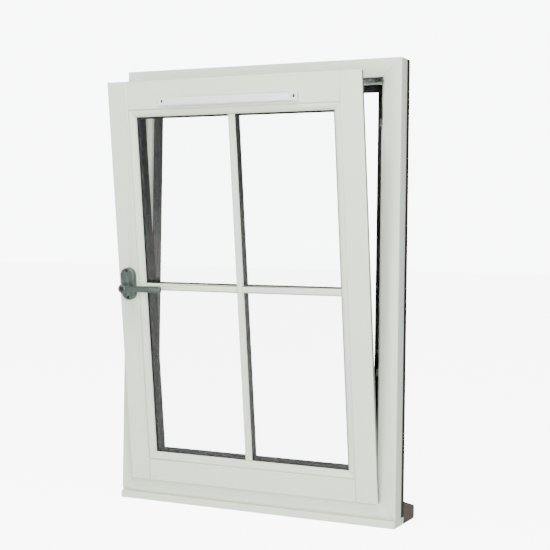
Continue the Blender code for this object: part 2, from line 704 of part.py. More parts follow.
def make_sash_pockets(wood):
    """Cut the housings for the hardware, the hinge and the vent out of the sash wood."""
    half = PLATE_WIDTH / 2 + JOINT_GAP
    middle = HARDWARE_CENTRE
    rod_deep = PLATE_THICKNESS + ROD_THICKNESS + 3 * RUN_GAP
    low, high = hardware_span()
    for side, sign in (("left", -1), ("right", 1)):
        past, deep = sign * (BODY_RIGHT + CUT_OVER), sign * (BODY_RIGHT - rod_deep)
        channel = box_mesh((min(past, deep), middle - half, low - ROD_TRAVEL - JOINT_GAP),
                           (max(past, deep), middle + half, high + ROD_TRAVEL + JOINT_GAP))
        cut(wood[side], add_cutter(f"{side}_channel", channel))
    case_left = -BODY_RIGHT + PLATE_THICKNESS
    case = box_mesh((case_left, middle - GEARBOX_THICKNESS / 2 - JOINT_GAP,
                     SPINDLE_Z - GEARBOX_HEIGHT / 2 - JOINT_GAP),
                    (-BODY_RIGHT + rod_deep + GEARBOX_WIDTH + JOINT_GAP,
                     middle + GEARBOX_THICKNESS / 2 + JOINT_GAP,
                     SPINDLE_Z + GEARBOX_HEIGHT / 2 + JOINT_GAP))
    cut(wood["left"], add_cutter("gearbox_mortise", case))
    hole = cylinder_mesh((SPINDLE_X, 0, SPINDLE_Z), (0, 1, 0), SPINDLE_HOLE_RADIUS, SPINDLE_HOLE_LENGTH)
    cut(wood["left"], add_cutter("spindle_hole", hole))
    left, right = top_hardware_span()
    channel = box_mesh((left - ROD_TRAVEL - JOINT_GAP, middle - half, BODY_TOP - rod_deep),
                       (right + ROD_TRAVEL + JOINT_GAP, middle + half, BODY_TOP + CUT_OVER))
    cut(wood["top"], add_cutter("top_channel", channel))
    pin_x = TURN_X - ARM_LENGTH
    slot = box_mesh((pin_x - SLOT_BEFORE, middle - SLOT_WIDTH / 2, BODY_TOP - SLOT_DEPTH),
                    (pin_x + SLOT_AFTER, middle + SLOT_WIDTH / 2, BODY_TOP + CUT_OVER))
    cut(wood["top"], add_cutter("stay_slot", slot))
    notches = {"low": (BRACKET_LOW - NOTCH_LOW, BRACKET_LOW + NOTCH_LOW_HEIGHT),
               "high": (ARM_Z - NOTCH_HIGH_DROP, BRACKET_HIGH + NOTCH_HIGH_RISE)}
    for title, (bottom, top) in notches.items():
        notch = box_mesh((TURN_X - NOTCH_WIDTH, PIVOT_Y - KNUCKLE_RADIUS - NOTCH_GAP, bottom),
                         (SASH_RIGHT + CUT_OVER, 0, top))
        cut(wood["right"], add_cutter(f"{title}_hinge_notch", notch))
    axle = cylinder_mesh((TURN_X - AXLE_HOLE_CENTRE, PIVOT_Y, TILT_HEIGHT), (1, 0, 0),
                         AXLE_RADIUS + PIN_GAP, AXLE_HOLE_LENGTH)
    cut(wood["right"], add_cutter("axle_hole", axle))


def make_sash_cladding():
    """Metal strips on the outside: full-height sides with the bottom and top ones between."""
    front = max(SASH_WOOD_BACK + JOINT_GAP, GLASS_BACK + SEAL_DEPTH + JOINT_GAP)
    side = SASH_RIGHT - CLADDING_INSET
    low, high = SASH_BOTTOM + CLADDING_INSET, SASH_TOP - CLADDING_INSET
    between = SIGHT_RIGHT - JOINT_GAP
    strips = {
        "left": ((-side, low), (-SIGHT_RIGHT, high)),
        "right": ((SIGHT_RIGHT, low), (side, high)),
        "bottom": ((-between, low), (between, SIGHT_BOTTOM)),
        "top": ((-between, SIGHT_TOP), (between, high)),
    }
    for title, (near, far) in strips.items():
        strip = box_mesh((near[0], front, near[1]), (far[0], SASH_BACK, far[1]))
        soften(add_part(f"sash_cladding_{title}", strip, dark_cladding()), CLADDING_ROUND, 1)


def make_glazing():
    """Glass unit with its spacer, the outer seal, the glazing beads and the glazing bars."""
    left, right = -SIGHT_RIGHT - GLASS_COVER, SIGHT_RIGHT + GLASS_COVER
    low, high = SIGHT_BOTTOM - GLASS_COVER, SIGHT_TOP + GLASS_COVER
    back = GLASS_FRONT + PANE_THICKNESS
    add_part("inner_pane", box_mesh((left, GLASS_FRONT, low), (right, back, high)), clear_glass())
    front = GLASS_BACK - PANE_THICKNESS
    add_part("outer_pane", box_mesh((left, front, low), (right, GLASS_BACK, high)), clear_glass())
    around = (left, low, right, high)
    spacer = rectangle_profile(SPACER_INSET - SPACER_WIDTH + SPACER_LIP, SPACER_INSET + SPACER_BODY,
                               back + JOINT_GAP, front - JOINT_GAP)
    mitred_ring("glass_spacer", spacer, around, spacer_black())
    seal = rectangle_profile(SEAL_INSET, SEAL_INSET + SEAL_WIDTH, GLASS_BACK + JOINT_GAP,
                             GLASS_BACK + SEAL_DEPTH)
    mitred_ring("glazing_seal", seal, around, black_rubber())
    pocket = (-POCKET_RIGHT, POCKET_BOTTOM, POCKET_RIGHT, POCKET_TOP)
    for side in ("left", "right", "bottom", "top"):
        mitred_bar(f"glazing_bead_{side}", bead_profile(), pocket, side, white_paint(), smooth=True)


def bead_profile():
    """Quirk, small fillet and rounded nose, from the sash member towards the glass."""
    near = JOINT_GAP
    quirk = SASH_FRONT + BEAD_QUIRK
    crown = SASH_FRONT + BEAD_CROWN
    deep = BEAD_NOSE_DEPTH
    wide = BEAD_WIDTH - BEAD_NOSE
    nose = [(BEAD_WIDTH - wide * (1 - sin(a)), crown + deep * (1 - cos(a)))
            for a in (radians(15 * i) for i in range(7))]
    return [(near, quirk), (BEAD_FILLET, quirk), (BEAD_FILLET, crown), *nose, (BEAD_WIDTH, BEAD_BACK),
            (near, BEAD_BACK)]


def make_bars():
    """White bars on the room side and dark bars outside, each pair halved where they cross."""
    layers = (("inner", GLASS_FRONT - JOINT_GAP - INNER_BAR_DEPTH, GLASS_FRONT - JOINT_GAP, -1),
              ("outer", GLASS_BACK + JOINT_GAP, GLASS_BACK + JOINT_GAP + OUTER_BAR_DEPTH, 1))
    half = BAR_WIDTH / 2
    for layer, front, back, room in layers:
        surface = white_paint() if layer == "inner" else dark_cladding()
        slope = BAR_SLOPE
        foot, face = (back, front) if room < 0 else (front, back)
        section = [(-half, foot), (-half, foot + (face - foot) * BAR_SHOULDER), (-half + slope, face),
                   (half - slope, face), (half, foot + (face - foot) * BAR_SHOULDER), (half, foot)]
        upright = [(BAR_CENTRE_X + u, y) for u, y in section]
        level = [(y, BAR_CENTRE_Z + u) for u, y in section]
        gap = RUN_GAP
        bar = add_part(f"{layer}_vertical_bar",
                       prism_mesh(upright, SIGHT_BOTTOM + gap, SIGHT_TOP - gap, "Z"), surface)
        cross = add_part(f"{layer}_horizontal_bar",
                         prism_mesh(level, -SIGHT_RIGHT + gap, SIGHT_RIGHT - gap, "X"), surface)
        middle = (front + back) / 2
        wide = half + JOINT_GAP
        bar_cut = box_mesh((BAR_CENTRE_X - BAR_CUT_REACH,
                            min(foot, middle) - (CUT_OVER if foot < middle else JOINT_GAP / 2),
                            BAR_CENTRE_Z - wide),
                           (BAR_CENTRE_X + BAR_CUT_REACH,
                            max(foot, middle) + (CUT_OVER if foot > middle else JOINT_GAP / 2),
                            BAR_CENTRE_Z + wide))
        cross_cut = box_mesh((BAR_CENTRE_X - wide,
                              min(face, middle) - (CUT_OVER if face < middle else JOINT_GAP / 2),
                              BAR_CENTRE_Z - BAR_CUT_REACH),
                             (BAR_CENTRE_X + wide,
                              max(face, middle) + (CUT_OVER if face > middle else JOINT_GAP / 2),
                              BAR_CENTRE_Z + BAR_CUT_REACH))
        cut(bar, add_cutter(f"{layer}_bar_halving", bar_cut))
        cut(cross, add_cutter(f"{layer}_cross_halving", cross_cut))


# ---------------------------------------------------------------- locking hardware
def hardware_span():
    """Ends of the side rods."""
    return CAM_HEIGHTS_LEFT[0] - ROD_END, CAM_HEIGHTS_RIGHT[1] + ROD_TOP_END


def top_hardware_span():
    """Ends of the top rod."""
    return TOP_CAM_X - TOP_ROD_HALF, TOP_CAM_X + TOP_ROD_HALF


def make_drive(side, cams):
    """Faceplate with slots, and a drive rod behind it whose cams stand out through the slots."""
    middle = HARDWARE_CENTRE
    half_plate, half_rod = PLATE_WIDTH / 2, ROD_WIDTH / 2
    rod_gap = PLATE_THICKNESS + RUN_GAP
    reach = AIR_GAP - JOINT_GAP - KEEP_THICKNESS - CAM_SHORT

    def block(low, high, depth_out, depth_in, half):
        """A box on the sash's edge; depths are measured inward from the wood's edge."""
        if side == "top":
            return box_mesh((low, middle - half, BODY_TOP - depth_in), (high, middle + half,
                                                                        BODY_TOP - depth_out))
        sign = -1 if side == "left" else 1
        a, b = sign * (BODY_RIGHT - depth_in), sign * (BODY_RIGHT - depth_out)
        return box_mesh((min(a, b), middle - half, low), (max(a, b), middle + half, high))

    low, high = top_hardware_span() if side == "top" else hardware_span()
    plate = add_part(f"faceplate_{side}", block(low - ROD_TRAVEL, high + ROD_TRAVEL, 0, PLATE_THICKNESS,
                                                half_plate), zinc_plate())
    rod = add_part(f"drive_rod_{side}", block(low, high, rod_gap, rod_gap + ROD_THICKNESS, half_rod),
                   zinc_plate())
    for number, cam in enumerate(cams):
        slot = block(cam - ROD_TRAVEL - CAM_RADIUS - RUN_GAP, cam + ROD_TRAVEL + CAM_RADIUS + RUN_GAP,
                     -CUT_OVER, PLATE_THICKNESS + CUT_OVER, CAM_RADIUS + RUN_GAP)
        cut(plate, add_cutter(f"{side}_slot_{number}", slot))
        length = reach + rod_gap + CUT_OVER
        offset = BODY_RIGHT - rod_gap - CUT_OVER + length / 2
        if side == "top":
            stud = cylinder_mesh((cam, middle, BODY_TOP - rod_gap - CUT_OVER + length / 2), (0, 0, 1),
                                 CAM_RADIUS, length, 16)
        else:
            sign = -1 if side == "left" else 1
            stud = cylinder_mesh((sign * offset, middle, cam), (1, 0, 0), CAM_RADIUS, length, 16)
        join(rod, add_cutter(f"{side}_cam_{number}", stud))


def make_gearbox():
    """Case with its well and the hub that the spindle turns."""
    middle = HARDWARE_CENTRE
    left = -BODY_RIGHT + PLATE_THICKNESS + ROD_THICKNESS + 2 * RUN_GAP + JOINT_GAP
    right = left + GEARBOX_WIDTH - 2 * JOINT_GAP
    half = GEARBOX_THICKNESS / 2
    case = box_mesh((left, middle - half, SPINDLE_Z - GEARBOX_HEIGHT / 2),
                    (right, middle + half, SPINDLE_Z + GEARBOX_HEIGHT / 2))
    gearbox = add_part("gearbox_case", case, zinc_plate())
    well = cylinder_mesh((SPINDLE_X, middle, SPINDLE_Z), (0, 1, 0), HUB_RADIUS + PIN_GAP, BORE_LENGTH)
    cut(gearbox, add_cutter("gearbox_well", well))
    hub = add_part("gearbox_hub", cylinder_mesh((SPINDLE_X, middle, SPINDLE_Z), (0, 1, 0), HUB_RADIUS,
                                                GEARBOX_THICKNESS - HUB_SHORT), zinc_plate())
    side = SPINDLE_SIDE / 2 + PIN_GAP / 2
    square = box_mesh((SPINDLE_X - side, middle - BORE_LENGTH / 2, SPINDLE_Z - side),
                      (SPINDLE_X + side, middle + BORE_LENGTH / 2, SPINDLE_Z + side))
    cut(hub, add_cutter("hub_square", square))


# ---------------------------------------------------------------- handle
def oval(width, height, centre, steps=10):
    """Outline of a plate with half-round ends, longer in its second direction."""
    r = width / 2
    straight = height / 2 - r
    top = arc((centre[0], centre[1] + straight), r, 0, 180, steps)
    bottom = arc((centre[0], centre[1] - straight), r, 180, 360, steps)
    return top + bottom


def make_rosette():
    """Oval plate behind the lever and its two screws."""
    centre = (SPINDLE_X, SPINDLE_Z + ROSETTE_RISE)
    back = SASH_FRONT - JOINT_GAP
    face = back - ROSETTE_DEPTH
    outline = oval(ROSETTE_WIDTH, ROSETTE_HEIGHT, centre)
    rosette = add_part("handle_rosette", prism_mesh(outline, back, face, "Y"), satin_zinc(), smooth=True)
    soften(rosette, ROSETTE_ROUND, 2)
    hole = cylinder_mesh((SPINDLE_X, face, SPINDLE_Z), (0, 1, 0), ROSETTE_HOLE_RADIUS, WELL_LENGTH)
    cut(rosette, add_cutter("rosette_hole", hole))
    for title, rise in (("top", ROSETTE_SCREW_RISE), ("bottom", -ROSETTE_SCREW_RISE)):
        z = centre[1] + rise
        hole = cylinder_mesh((SPINDLE_X, face, z), (0, 1, 0), ROSETTE_SCREW_RADIUS + 4 * SKIN,
                             WELL_LENGTH, 16)
        cut(rosette, add_cutter(f"rosette_{title}_bore", hole))
        head = cylinder_mesh((SPINDLE_X, (face + SCREW_SINK + back) / 2, z), (0, 1, 0),
                             ROSETTE_SCREW_RADIUS,
                             back - face - SCREW_SINK, 16)
        add_part(f"rosette_screw_{title}", head, black_cylinder(), smooth=True)


def make_lever():
    """Round boss with the key hole, and a flat lever that reaches out level to the right."""
    rosette_face = SASH_FRONT - JOINT_GAP - ROSETTE_DEPTH
    root = rosette_face - RUN_GAP
    tip = rosette_face - BOSS_PROJECTION + ROSETTE_DEPTH
    boss = cylinder_mesh((SPINDLE_X, (root + tip) / 2, SPINDLE_Z), (0, 1, 0), BOSS_RADIUS, root - tip,
                         32)
    lever = add_part("lever_handle", boss, satin_zinc(), smooth=True)
    front = tip + LEVER_SETBACK
    back = front + LEVER_THICKNESS
    end = SPINDLE_X + LEVER_LENGTH
    small, big = LEVER_ROOT_HEIGHT / 2, LEVER_TIP_HEIGHT / 2
    r = LEVER_TIP_ROUND
    outline = [(SPINDLE_X, SPINDLE_Z - small)]
    outline += arc((end - r, SPINDLE_Z - big + r), r, -90, 0, 5)
    outline += arc((end - r, SPINDLE_Z + big - r), r, 0, 90, 5)
    outline += [(SPINDLE_X, SPINDLE_Z + small)]
    blade = add_cutter("lever_blade", prism_mesh(outline, front, back, "Y"))
    soften(blade, LEVER_ROUND, 2)
    join(lever, blade)
    well = cylinder_mesh((SPINDLE_X, tip, SPINDLE_Z), (0, 1, 0), KEY_RADIUS + PIN_GAP, WELL_LENGTH)
    cut(lever, add_cutter("key_well", well))
    side = SPINDLE_SIDE / 2 + PIN_GAP / 2
    square = box_mesh((SPINDLE_X - side, root - SQUARE_DEPTH, SPINDLE_Z - side),
                      (SPINDLE_X + side, root + CUT_PAST, SPINDLE_Z + side))
    cut(lever, add_cutter("lever_square", square))
    key = cylinder_mesh((SPINDLE_X, tip + KEY_RECESS + KEY_LENGTH / 2, SPINDLE_Z), (0, 1, 0), KEY_RADIUS,
                        KEY_LENGTH)
    cylinder = add_part("key_cylinder", key, black_cylinder(), smooth=True)
    slit = box_mesh((SPINDLE_X - SLIT_HALF, tip - SLIT_PAST, SPINDLE_Z - SLIT_REACH),
                    (SPINDLE_X + SLIT_HALF, tip + SLIT_DEPTH, SPINDLE_Z + SLIT_REACH))
    cut(cylinder, add_cutter("key_slit", slit))
    half = SPINDLE_SIDE / 2
    spindle = box_mesh((SPINDLE_X - half, root - SPINDLE_SEAT, SPINDLE_Z - half),
                       (SPINDLE_X + half, HARDWARE_CENTRE + SPINDLE_TAIL, SPINDLE_Z + half))
    add_part("handle_spindle", spindle, zinc_plate())


# ---------------------------------------------------------------- trickle vent
def make_vent():
    """Slim vent on the top rail: a base with two end caps, a flap between them, two screws."""
    back = SASH_FRONT - JOINT_GAP
    left, right = VENT_CENTRE_X - VENT_LENGTH / 2, VENT_CENTRE_X + VENT_LENGTH / 2
    low, high = VENT_CENTRE_Z - VENT_HEIGHT / 2, VENT_CENTRE_Z + VENT_HEIGHT / 2
    face = back - VENT_DEPTH
    base = add_part("vent_base", box_mesh((left, face, low), (right, back, high)), white_plastic())
    pocket = box_mesh((left + VENT_CAP, face - CUT_OVER, low - CUT_OVER),
                      (right - VENT_CAP, back - VENT_FLOOR, high + CUT_OVER))
    cut(base, add_cutter("vent_pocket", pocket))
    hinge_y = face + FLAP_INSET
    hinge_z = high - FLAP_INSET
    flap_back = back - VENT_FLOOR - RUN_GAP
    outline = arc((hinge_y, hinge_z), FLAP_ROUND, 60, 180, 5)
    outline += arc((hinge_y + FLAP_ROUND / 2, low + FLAP_TOE_RISE), 1.5 * FLAP_ROUND, 180, 250, 3)
    outline += [(flap_back, low + FLAP_ROUND / 2), (flap_back, low + FLAP_FOOT), (hinge_y + FLAP_ROUND,
                                                                                  hinge_z - CUT_OVER)]
    gap = RUN_GAP
    flap = prism_mesh(outline, left + VENT_CAP + gap, right - VENT_CAP - gap, "X")
    add_part("vent_flap", flap, white_plastic(), smooth=True)
    for title, sign in (("left", -1), ("right", 1)):
        x = VENT_CENTRE_X + sign * VENT_SCREW_SPACING / 2
        hole = cylinder_mesh((x, back, VENT_CENTRE_Z), (0, 1, 0), VENT_SCREW_RADIUS + PIN_GAP,
                             BORE_LENGTH, 16)
        cut(base, add_cutter(f"vent_{title}_bore", hole))
        screw = cylinder_mesh((x, (back + face + CUT_OVER) / 2, VENT_CENTRE_Z), (0, 1, 0),
                              VENT_SCREW_RADIUS,
                              back - face - CUT_OVER, 16)
        add_part(f"vent_screw_{title}", screw, black_cylinder(), smooth=True)
    return hinge_y, hinge_z


def main():
    """Build every sub-part, lean the sash and show the result."""
    global parts, cutters
    clear_scene()
    parts = make_collection("tilt_turn_window")
    cutters = make_collection("cutters")
    make_frame()
    make_base_and_sill()
    make_keeps()
    make_hinges()
    make_stay_arm()
    fixed = {item.name for item in bpy.data.objects}
    wood = make_sash_wood()
    make_sash_pockets(wood)
    make_sash_cladding()
    make_glazing()
    make_bars()
    make_drive("left", CAM_HEIGHTS_LEFT)
    make_drive("right", CAM_HEIGHTS_RIGHT)
    make_drive("top", (TOP_CAM_X,))
    make_gearbox()
    make_rosette()
    make_lever()
    make_vent()
    moving = [item.name for item in bpy.data.objects if item.name not in fixed]
    spin_about(moving, "tilt_axis", (TURN_X, PIVOT_Y, TILT_HEIGHT), (radians(TILT_DEGREES), 0, 0))


if __name__ == "__main__":
    main()
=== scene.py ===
"""Looks for the tilt-and-turn window: painted wood, dark cladding, glass, castings and plating.

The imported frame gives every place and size. A sash piece is made as if the sash were shut
and then leant into the room with the same motion that the tilt joint describes.
"""

import json
import logging
from dataclasses import dataclass
from enum import Enum
from math import cos, pi, radians, sin, sqrt
from typing import Callable, Iterable, Sequence

import bmesh
import bpy
from mathutils import Matrix, Vector


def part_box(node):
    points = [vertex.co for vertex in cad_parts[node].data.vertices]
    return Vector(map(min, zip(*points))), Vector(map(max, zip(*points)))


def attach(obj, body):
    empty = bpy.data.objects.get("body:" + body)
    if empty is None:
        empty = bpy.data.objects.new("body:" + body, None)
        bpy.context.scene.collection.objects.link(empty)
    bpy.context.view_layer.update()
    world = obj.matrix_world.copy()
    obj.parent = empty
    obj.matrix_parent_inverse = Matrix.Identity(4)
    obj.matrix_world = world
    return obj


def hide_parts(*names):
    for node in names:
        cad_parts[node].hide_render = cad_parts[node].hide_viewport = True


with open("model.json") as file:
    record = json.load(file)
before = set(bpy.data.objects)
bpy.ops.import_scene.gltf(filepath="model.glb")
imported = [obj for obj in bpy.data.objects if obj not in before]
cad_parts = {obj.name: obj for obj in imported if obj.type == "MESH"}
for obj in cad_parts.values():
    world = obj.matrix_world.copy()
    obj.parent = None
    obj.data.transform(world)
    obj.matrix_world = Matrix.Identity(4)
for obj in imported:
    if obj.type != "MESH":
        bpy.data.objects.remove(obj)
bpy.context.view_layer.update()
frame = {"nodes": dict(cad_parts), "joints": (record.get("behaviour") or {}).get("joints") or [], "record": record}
log = logging.getLogger("window")

Outline = list[tuple[float, float]]


class Side(Enum):
    """The four sides of a rectangular ring."""

    LEFT = "left"
    RIGHT = "right"
    BOTTOM = "bottom"
    TOP = "top"


class Effect(Enum):
    """Names of the shared shader effects."""

    MOTTLE = "mottle"
    GRAIN = "directional_grain"
    WEAR = "edge_wear"
    DUST = "settled_dust"


# ---------------------------------------------------------------- shared shader effects
class EffectLibrary:
    """Builds each shared node group once and places it in materials."""

    def __init__(self) -> None:
        """Start with no groups made."""
        self.groups: dict[Effect, bpy.types.NodeTree] = {}

    def group(self, effect: Effect) -> bpy.types.NodeTree:
        """Return the node group of an effect, made on first use.

        Args:
            effect: Which effect to return.

        Returns:
            The shader node tree.
        """
        if effect not in self.groups:
            makers: dict[Effect, Callable[[], bpy.types.NodeTree]] = {
                Effect.MOTTLE: self.make_mottle,
                Effect.GRAIN: self.make_grain,
                Effect.WEAR: self.make_wear,
                Effect.DUST: self.make_dust,
            }
            self.groups[effect] = makers[effect]()
        return self.groups[effect]

    def start(self, effect: Effect, inputs: dict[str, tuple[str, object]],
              outputs: dict[str, str]) -> tuple[bpy.types.NodeTree, bpy.types.Node, bpy.types.Node]:
        """Make an empty group with named sockets.

        Args:
            effect: The effect that names the group.
            inputs: Socket name to (kind, default value).
            outputs: Socket name to kind.

        Returns:
            The tree, its input node and its output node.
        """
        tree = bpy.data.node_groups.new(effect.value, "ShaderNodeTree")
        for name, (kind, value) in inputs.items():
            socket = tree.interface.new_socket(name=name, in_out="INPUT", socket_type=kind)
            socket.default_value = value
        for name, kind in outputs.items():
            tree.interface.new_socket(name=name, in_out="OUTPUT", socket_type=kind)
        entry = tree.nodes.new("NodeGroupInput")
        leave = tree.nodes.new("NodeGroupOutput")
        return tree, entry, leave

    def noise(self, tree: bpy.types.NodeTree, scale: float, detail: float = 3.0) -> bpy.types.Node:
        """Add object-space noise to a tree.

        Args:
            tree: The tree to add to.
            scale: Noise scale per metre.
            detail: Number of octaves.

        Returns:
            The noise node.
        """
        place = tree.nodes.new("ShaderNodeTexCoord")
        made = tree.nodes.new("ShaderNodeTexNoise")
        made.inputs["Scale"].default_value = scale
        made.inputs["Detail"].default_value = detail
        tree.links.new(place.outputs["Object"], made.inputs["Vector"])
        return made

    def ramp(self, tree: bpy.types.NodeTree, value: bpy.types.NodeSocket,
             low: float, high: float) -> bpy.types.NodeSocket:
        """Stretch a value so that low becomes 0 and high becomes 1, clamped.

        Args:
            tree: The tree to add to.
            value: The value's socket.
            low: Value that becomes 0.
            high: Value that becomes 1.

        Returns:
            The stretched value's socket.
        """
        node = tree.nodes.new("ShaderNodeMapRange")
        node.inputs["From Min"].default_value = low
        node.inputs["From Max"].default_value = high
        tree.links.new(value, node.inputs["Value"])
        return node.outputs["Result"]

    def math(self, tree: bpy.types.NodeTree, kind: str, first: bpy.types.NodeSocket,
             second: bpy.types.NodeSocket | float) -> bpy.types.NodeSocket:
        """Add a math node.

        Args:
            tree: The tree to add to.
            kind: The operation.
            first: First value's socket.
            second: Second value's socket or a number.

        Returns:
            The result's socket.
        """
        node = tree.nodes.new("ShaderNodeMath")
        node.operation = kind
        tree.links.new(first, node.inputs[0])
        if isinstance(second, (int, float)):
            node.inputs[1].default_value = second
        else:
            tree.links.new(second, node.inputs[1])
        return node.outputs[0]

    def straight_view(self, tree: bpy.types.NodeTree) -> bpy.types.NodeSocket:
        """Give 1 where a ray comes straight from the viewer, clear glass allowed, and 0 elsewhere.

        Args:
            tree: The tree to add to.

        Returns:
            The mask's socket.
        """
        path = tree.nodes.new("ShaderNodeLightPath")
        direct = self.math(tree, "LESS_THAN", path.outputs["Glossy Depth"], 0.5)
        clear = self.math(tree, "MULTIPLY", path.outputs["Is Transmission Ray"], direct)
        return self.math(tree, "MAXIMUM", path.outputs["Is Camera Ray"], clear)

    def mix(self, tree: bpy.types.NodeTree, factor: bpy.types.NodeSocket,
            first: bpy.types.NodeSocket, second: bpy.types.NodeSocket) -> bpy.types.NodeSocket:
        """Mix two colours.

        Args:
            tree: The tree to add to.
            factor: Share of the second colour.
            first: First colour.
            second: Second colour.

        Returns:
            The mixed colour's socket.
        """
        node = tree.nodes.new("ShaderNodeMix")
        node.data_type = "RGBA"
        tree.links.new(factor, node.inputs["Factor"])
        tree.links.new(first, node.inputs[6])
        tree.links.new(second, node.inputs[7])
        return node.outputs[2]

    def make_mottle(self) -> bpy.types.NodeTree:
        """Broad and fine unevenness of colour and gloss, with a fine skin height."""
        tree, entry, leave = self.start(
            Effect.MOTTLE,
            {"Color": ("NodeSocketColor", (1, 1, 1, 1)), "Shade": ("NodeSocketColor", (0, 0, 0, 1)),
             "Amount": ("NodeSocketFloat", 0.1), "Roughness": ("NodeSocketFloat", 0.4),
             "Spread": ("NodeSocketFloat", 0.05)},
            {"Color": "NodeSocketColor", "Roughness": "NodeSocketFloat", "Height": "NodeSocketFloat"})
        broad = self.ramp(tree, self.noise(tree, 5.0).outputs["Fac"], 0.35, 0.7)
        fine = self.ramp(tree, self.noise(tree, 70.0).outputs["Fac"], 0.3, 0.7)
        skin = self.noise(tree, 900.0, 1.0).outputs["Fac"]
        both = self.math(tree, "ADD", self.math(tree, "MULTIPLY", broad, 0.7),
                         self.math(tree, "MULTIPLY", fine, 0.3))
        share = self.math(tree, "MULTIPLY", both, entry.outputs["Amount"])
        color = self.mix(tree, share, entry.outputs["Color"], entry.outputs["Shade"])
        swing = self.math(tree, "MULTIPLY", fine, entry.outputs["Spread"])
        rough = self.math(tree, "ADD", swing, entry.outputs["Roughness"])
        tree.links.new(color, leave.inputs["Color"])
        tree.links.new(rough, leave.inputs["Roughness"])
        tree.links.new(skin, leave.inputs["Height"])
        return tree

    def make_grain(self) -> bpy.types.NodeTree:
        """Long streaks along one direction, for brushed metal and wood under paint."""
        tree, entry, leave = self.start(
            Effect.GRAIN,
            {"Stretch": ("NodeSocketVector", (60.0, 60.0, 3.0)), "Scale": ("NodeSocketFloat", 6.0)},
            {"Mask": "NodeSocketFloat", "Height": "NodeSocketFloat"})
        place = tree.nodes.new("ShaderNodeTexCoord")
        scaled = tree.nodes.new("ShaderNodeVectorMath")
        scaled.operation = "MULTIPLY"
        tree.links.new(place.outputs["Object"], scaled.inputs[0])
        tree.links.new(entry.outputs["Stretch"], scaled.inputs[1])
        streak = tree.nodes.new("ShaderNodeTexNoise")
        streak.inputs["Detail"].default_value = 4.0
        tree.links.new(scaled.outputs[0], streak.inputs["Vector"])
        tree.links.new(entry.outputs["Scale"], streak.inputs["Scale"])
        tree.links.new(self.ramp(tree, streak.outputs["Fac"], 0.35, 0.65), leave.inputs["Mask"])
        tree.links.new(streak.outputs["Fac"], leave.inputs["Height"])
        return tree

    def make_wear(self) -> bpy.types.NodeTree:
        """A mask of raised edges, broken up by noise."""
        tree, entry, leave = self.start(
            Effect.WEAR, {"Amount": ("NodeSocketFloat", 0.5)}, {"Mask": "NodeSocketFloat"})
        shape = tree.nodes.new("ShaderNodeNewGeometry")
        edge = self.ramp(tree, shape.outputs["Pointiness"], 0.52, 0.60)
        broken = self.ramp(tree, self.noise(tree, 160.0, 5.0).outputs["Fac"], 0.40, 0.62)
        mask = self.math(tree, "MULTIPLY", edge, broken)
        tree.links.new(self.math(tree, "MULTIPLY", mask, entry.outputs["Amount"]), leave.inputs["Mask"])
        return tree

    def make_dust(self) -> bpy.types.NodeTree:
        """A mask of fine dust on faces that look up."""
        tree, entry, leave = self.start(
            Effect.DUST, {"Amount": ("NodeSocketFloat", 0.3)}, {"Mask": "NodeSocketFloat"})
        shape = tree.nodes.new("ShaderNodeNewGeometry")
        split = tree.nodes.new("ShaderNodeSeparateXYZ")
        tree.links.new(shape.outputs["Normal"], split.inputs[0])
        up = self.ramp(tree, split.outputs["Z"], 0.55, 1.0)
        cloud = self.ramp(tree, self.noise(tree, 45.0, 5.0).outputs["Fac"], 0.35, 0.75)
        mask = self.math(tree, "MULTIPLY", up, cloud)
        tree.links.new(self.math(tree, "MULTIPLY", mask, entry.outputs["Amount"]), leave.inputs["Mask"])
        return tree


EFFECTS = EffectLibrary()


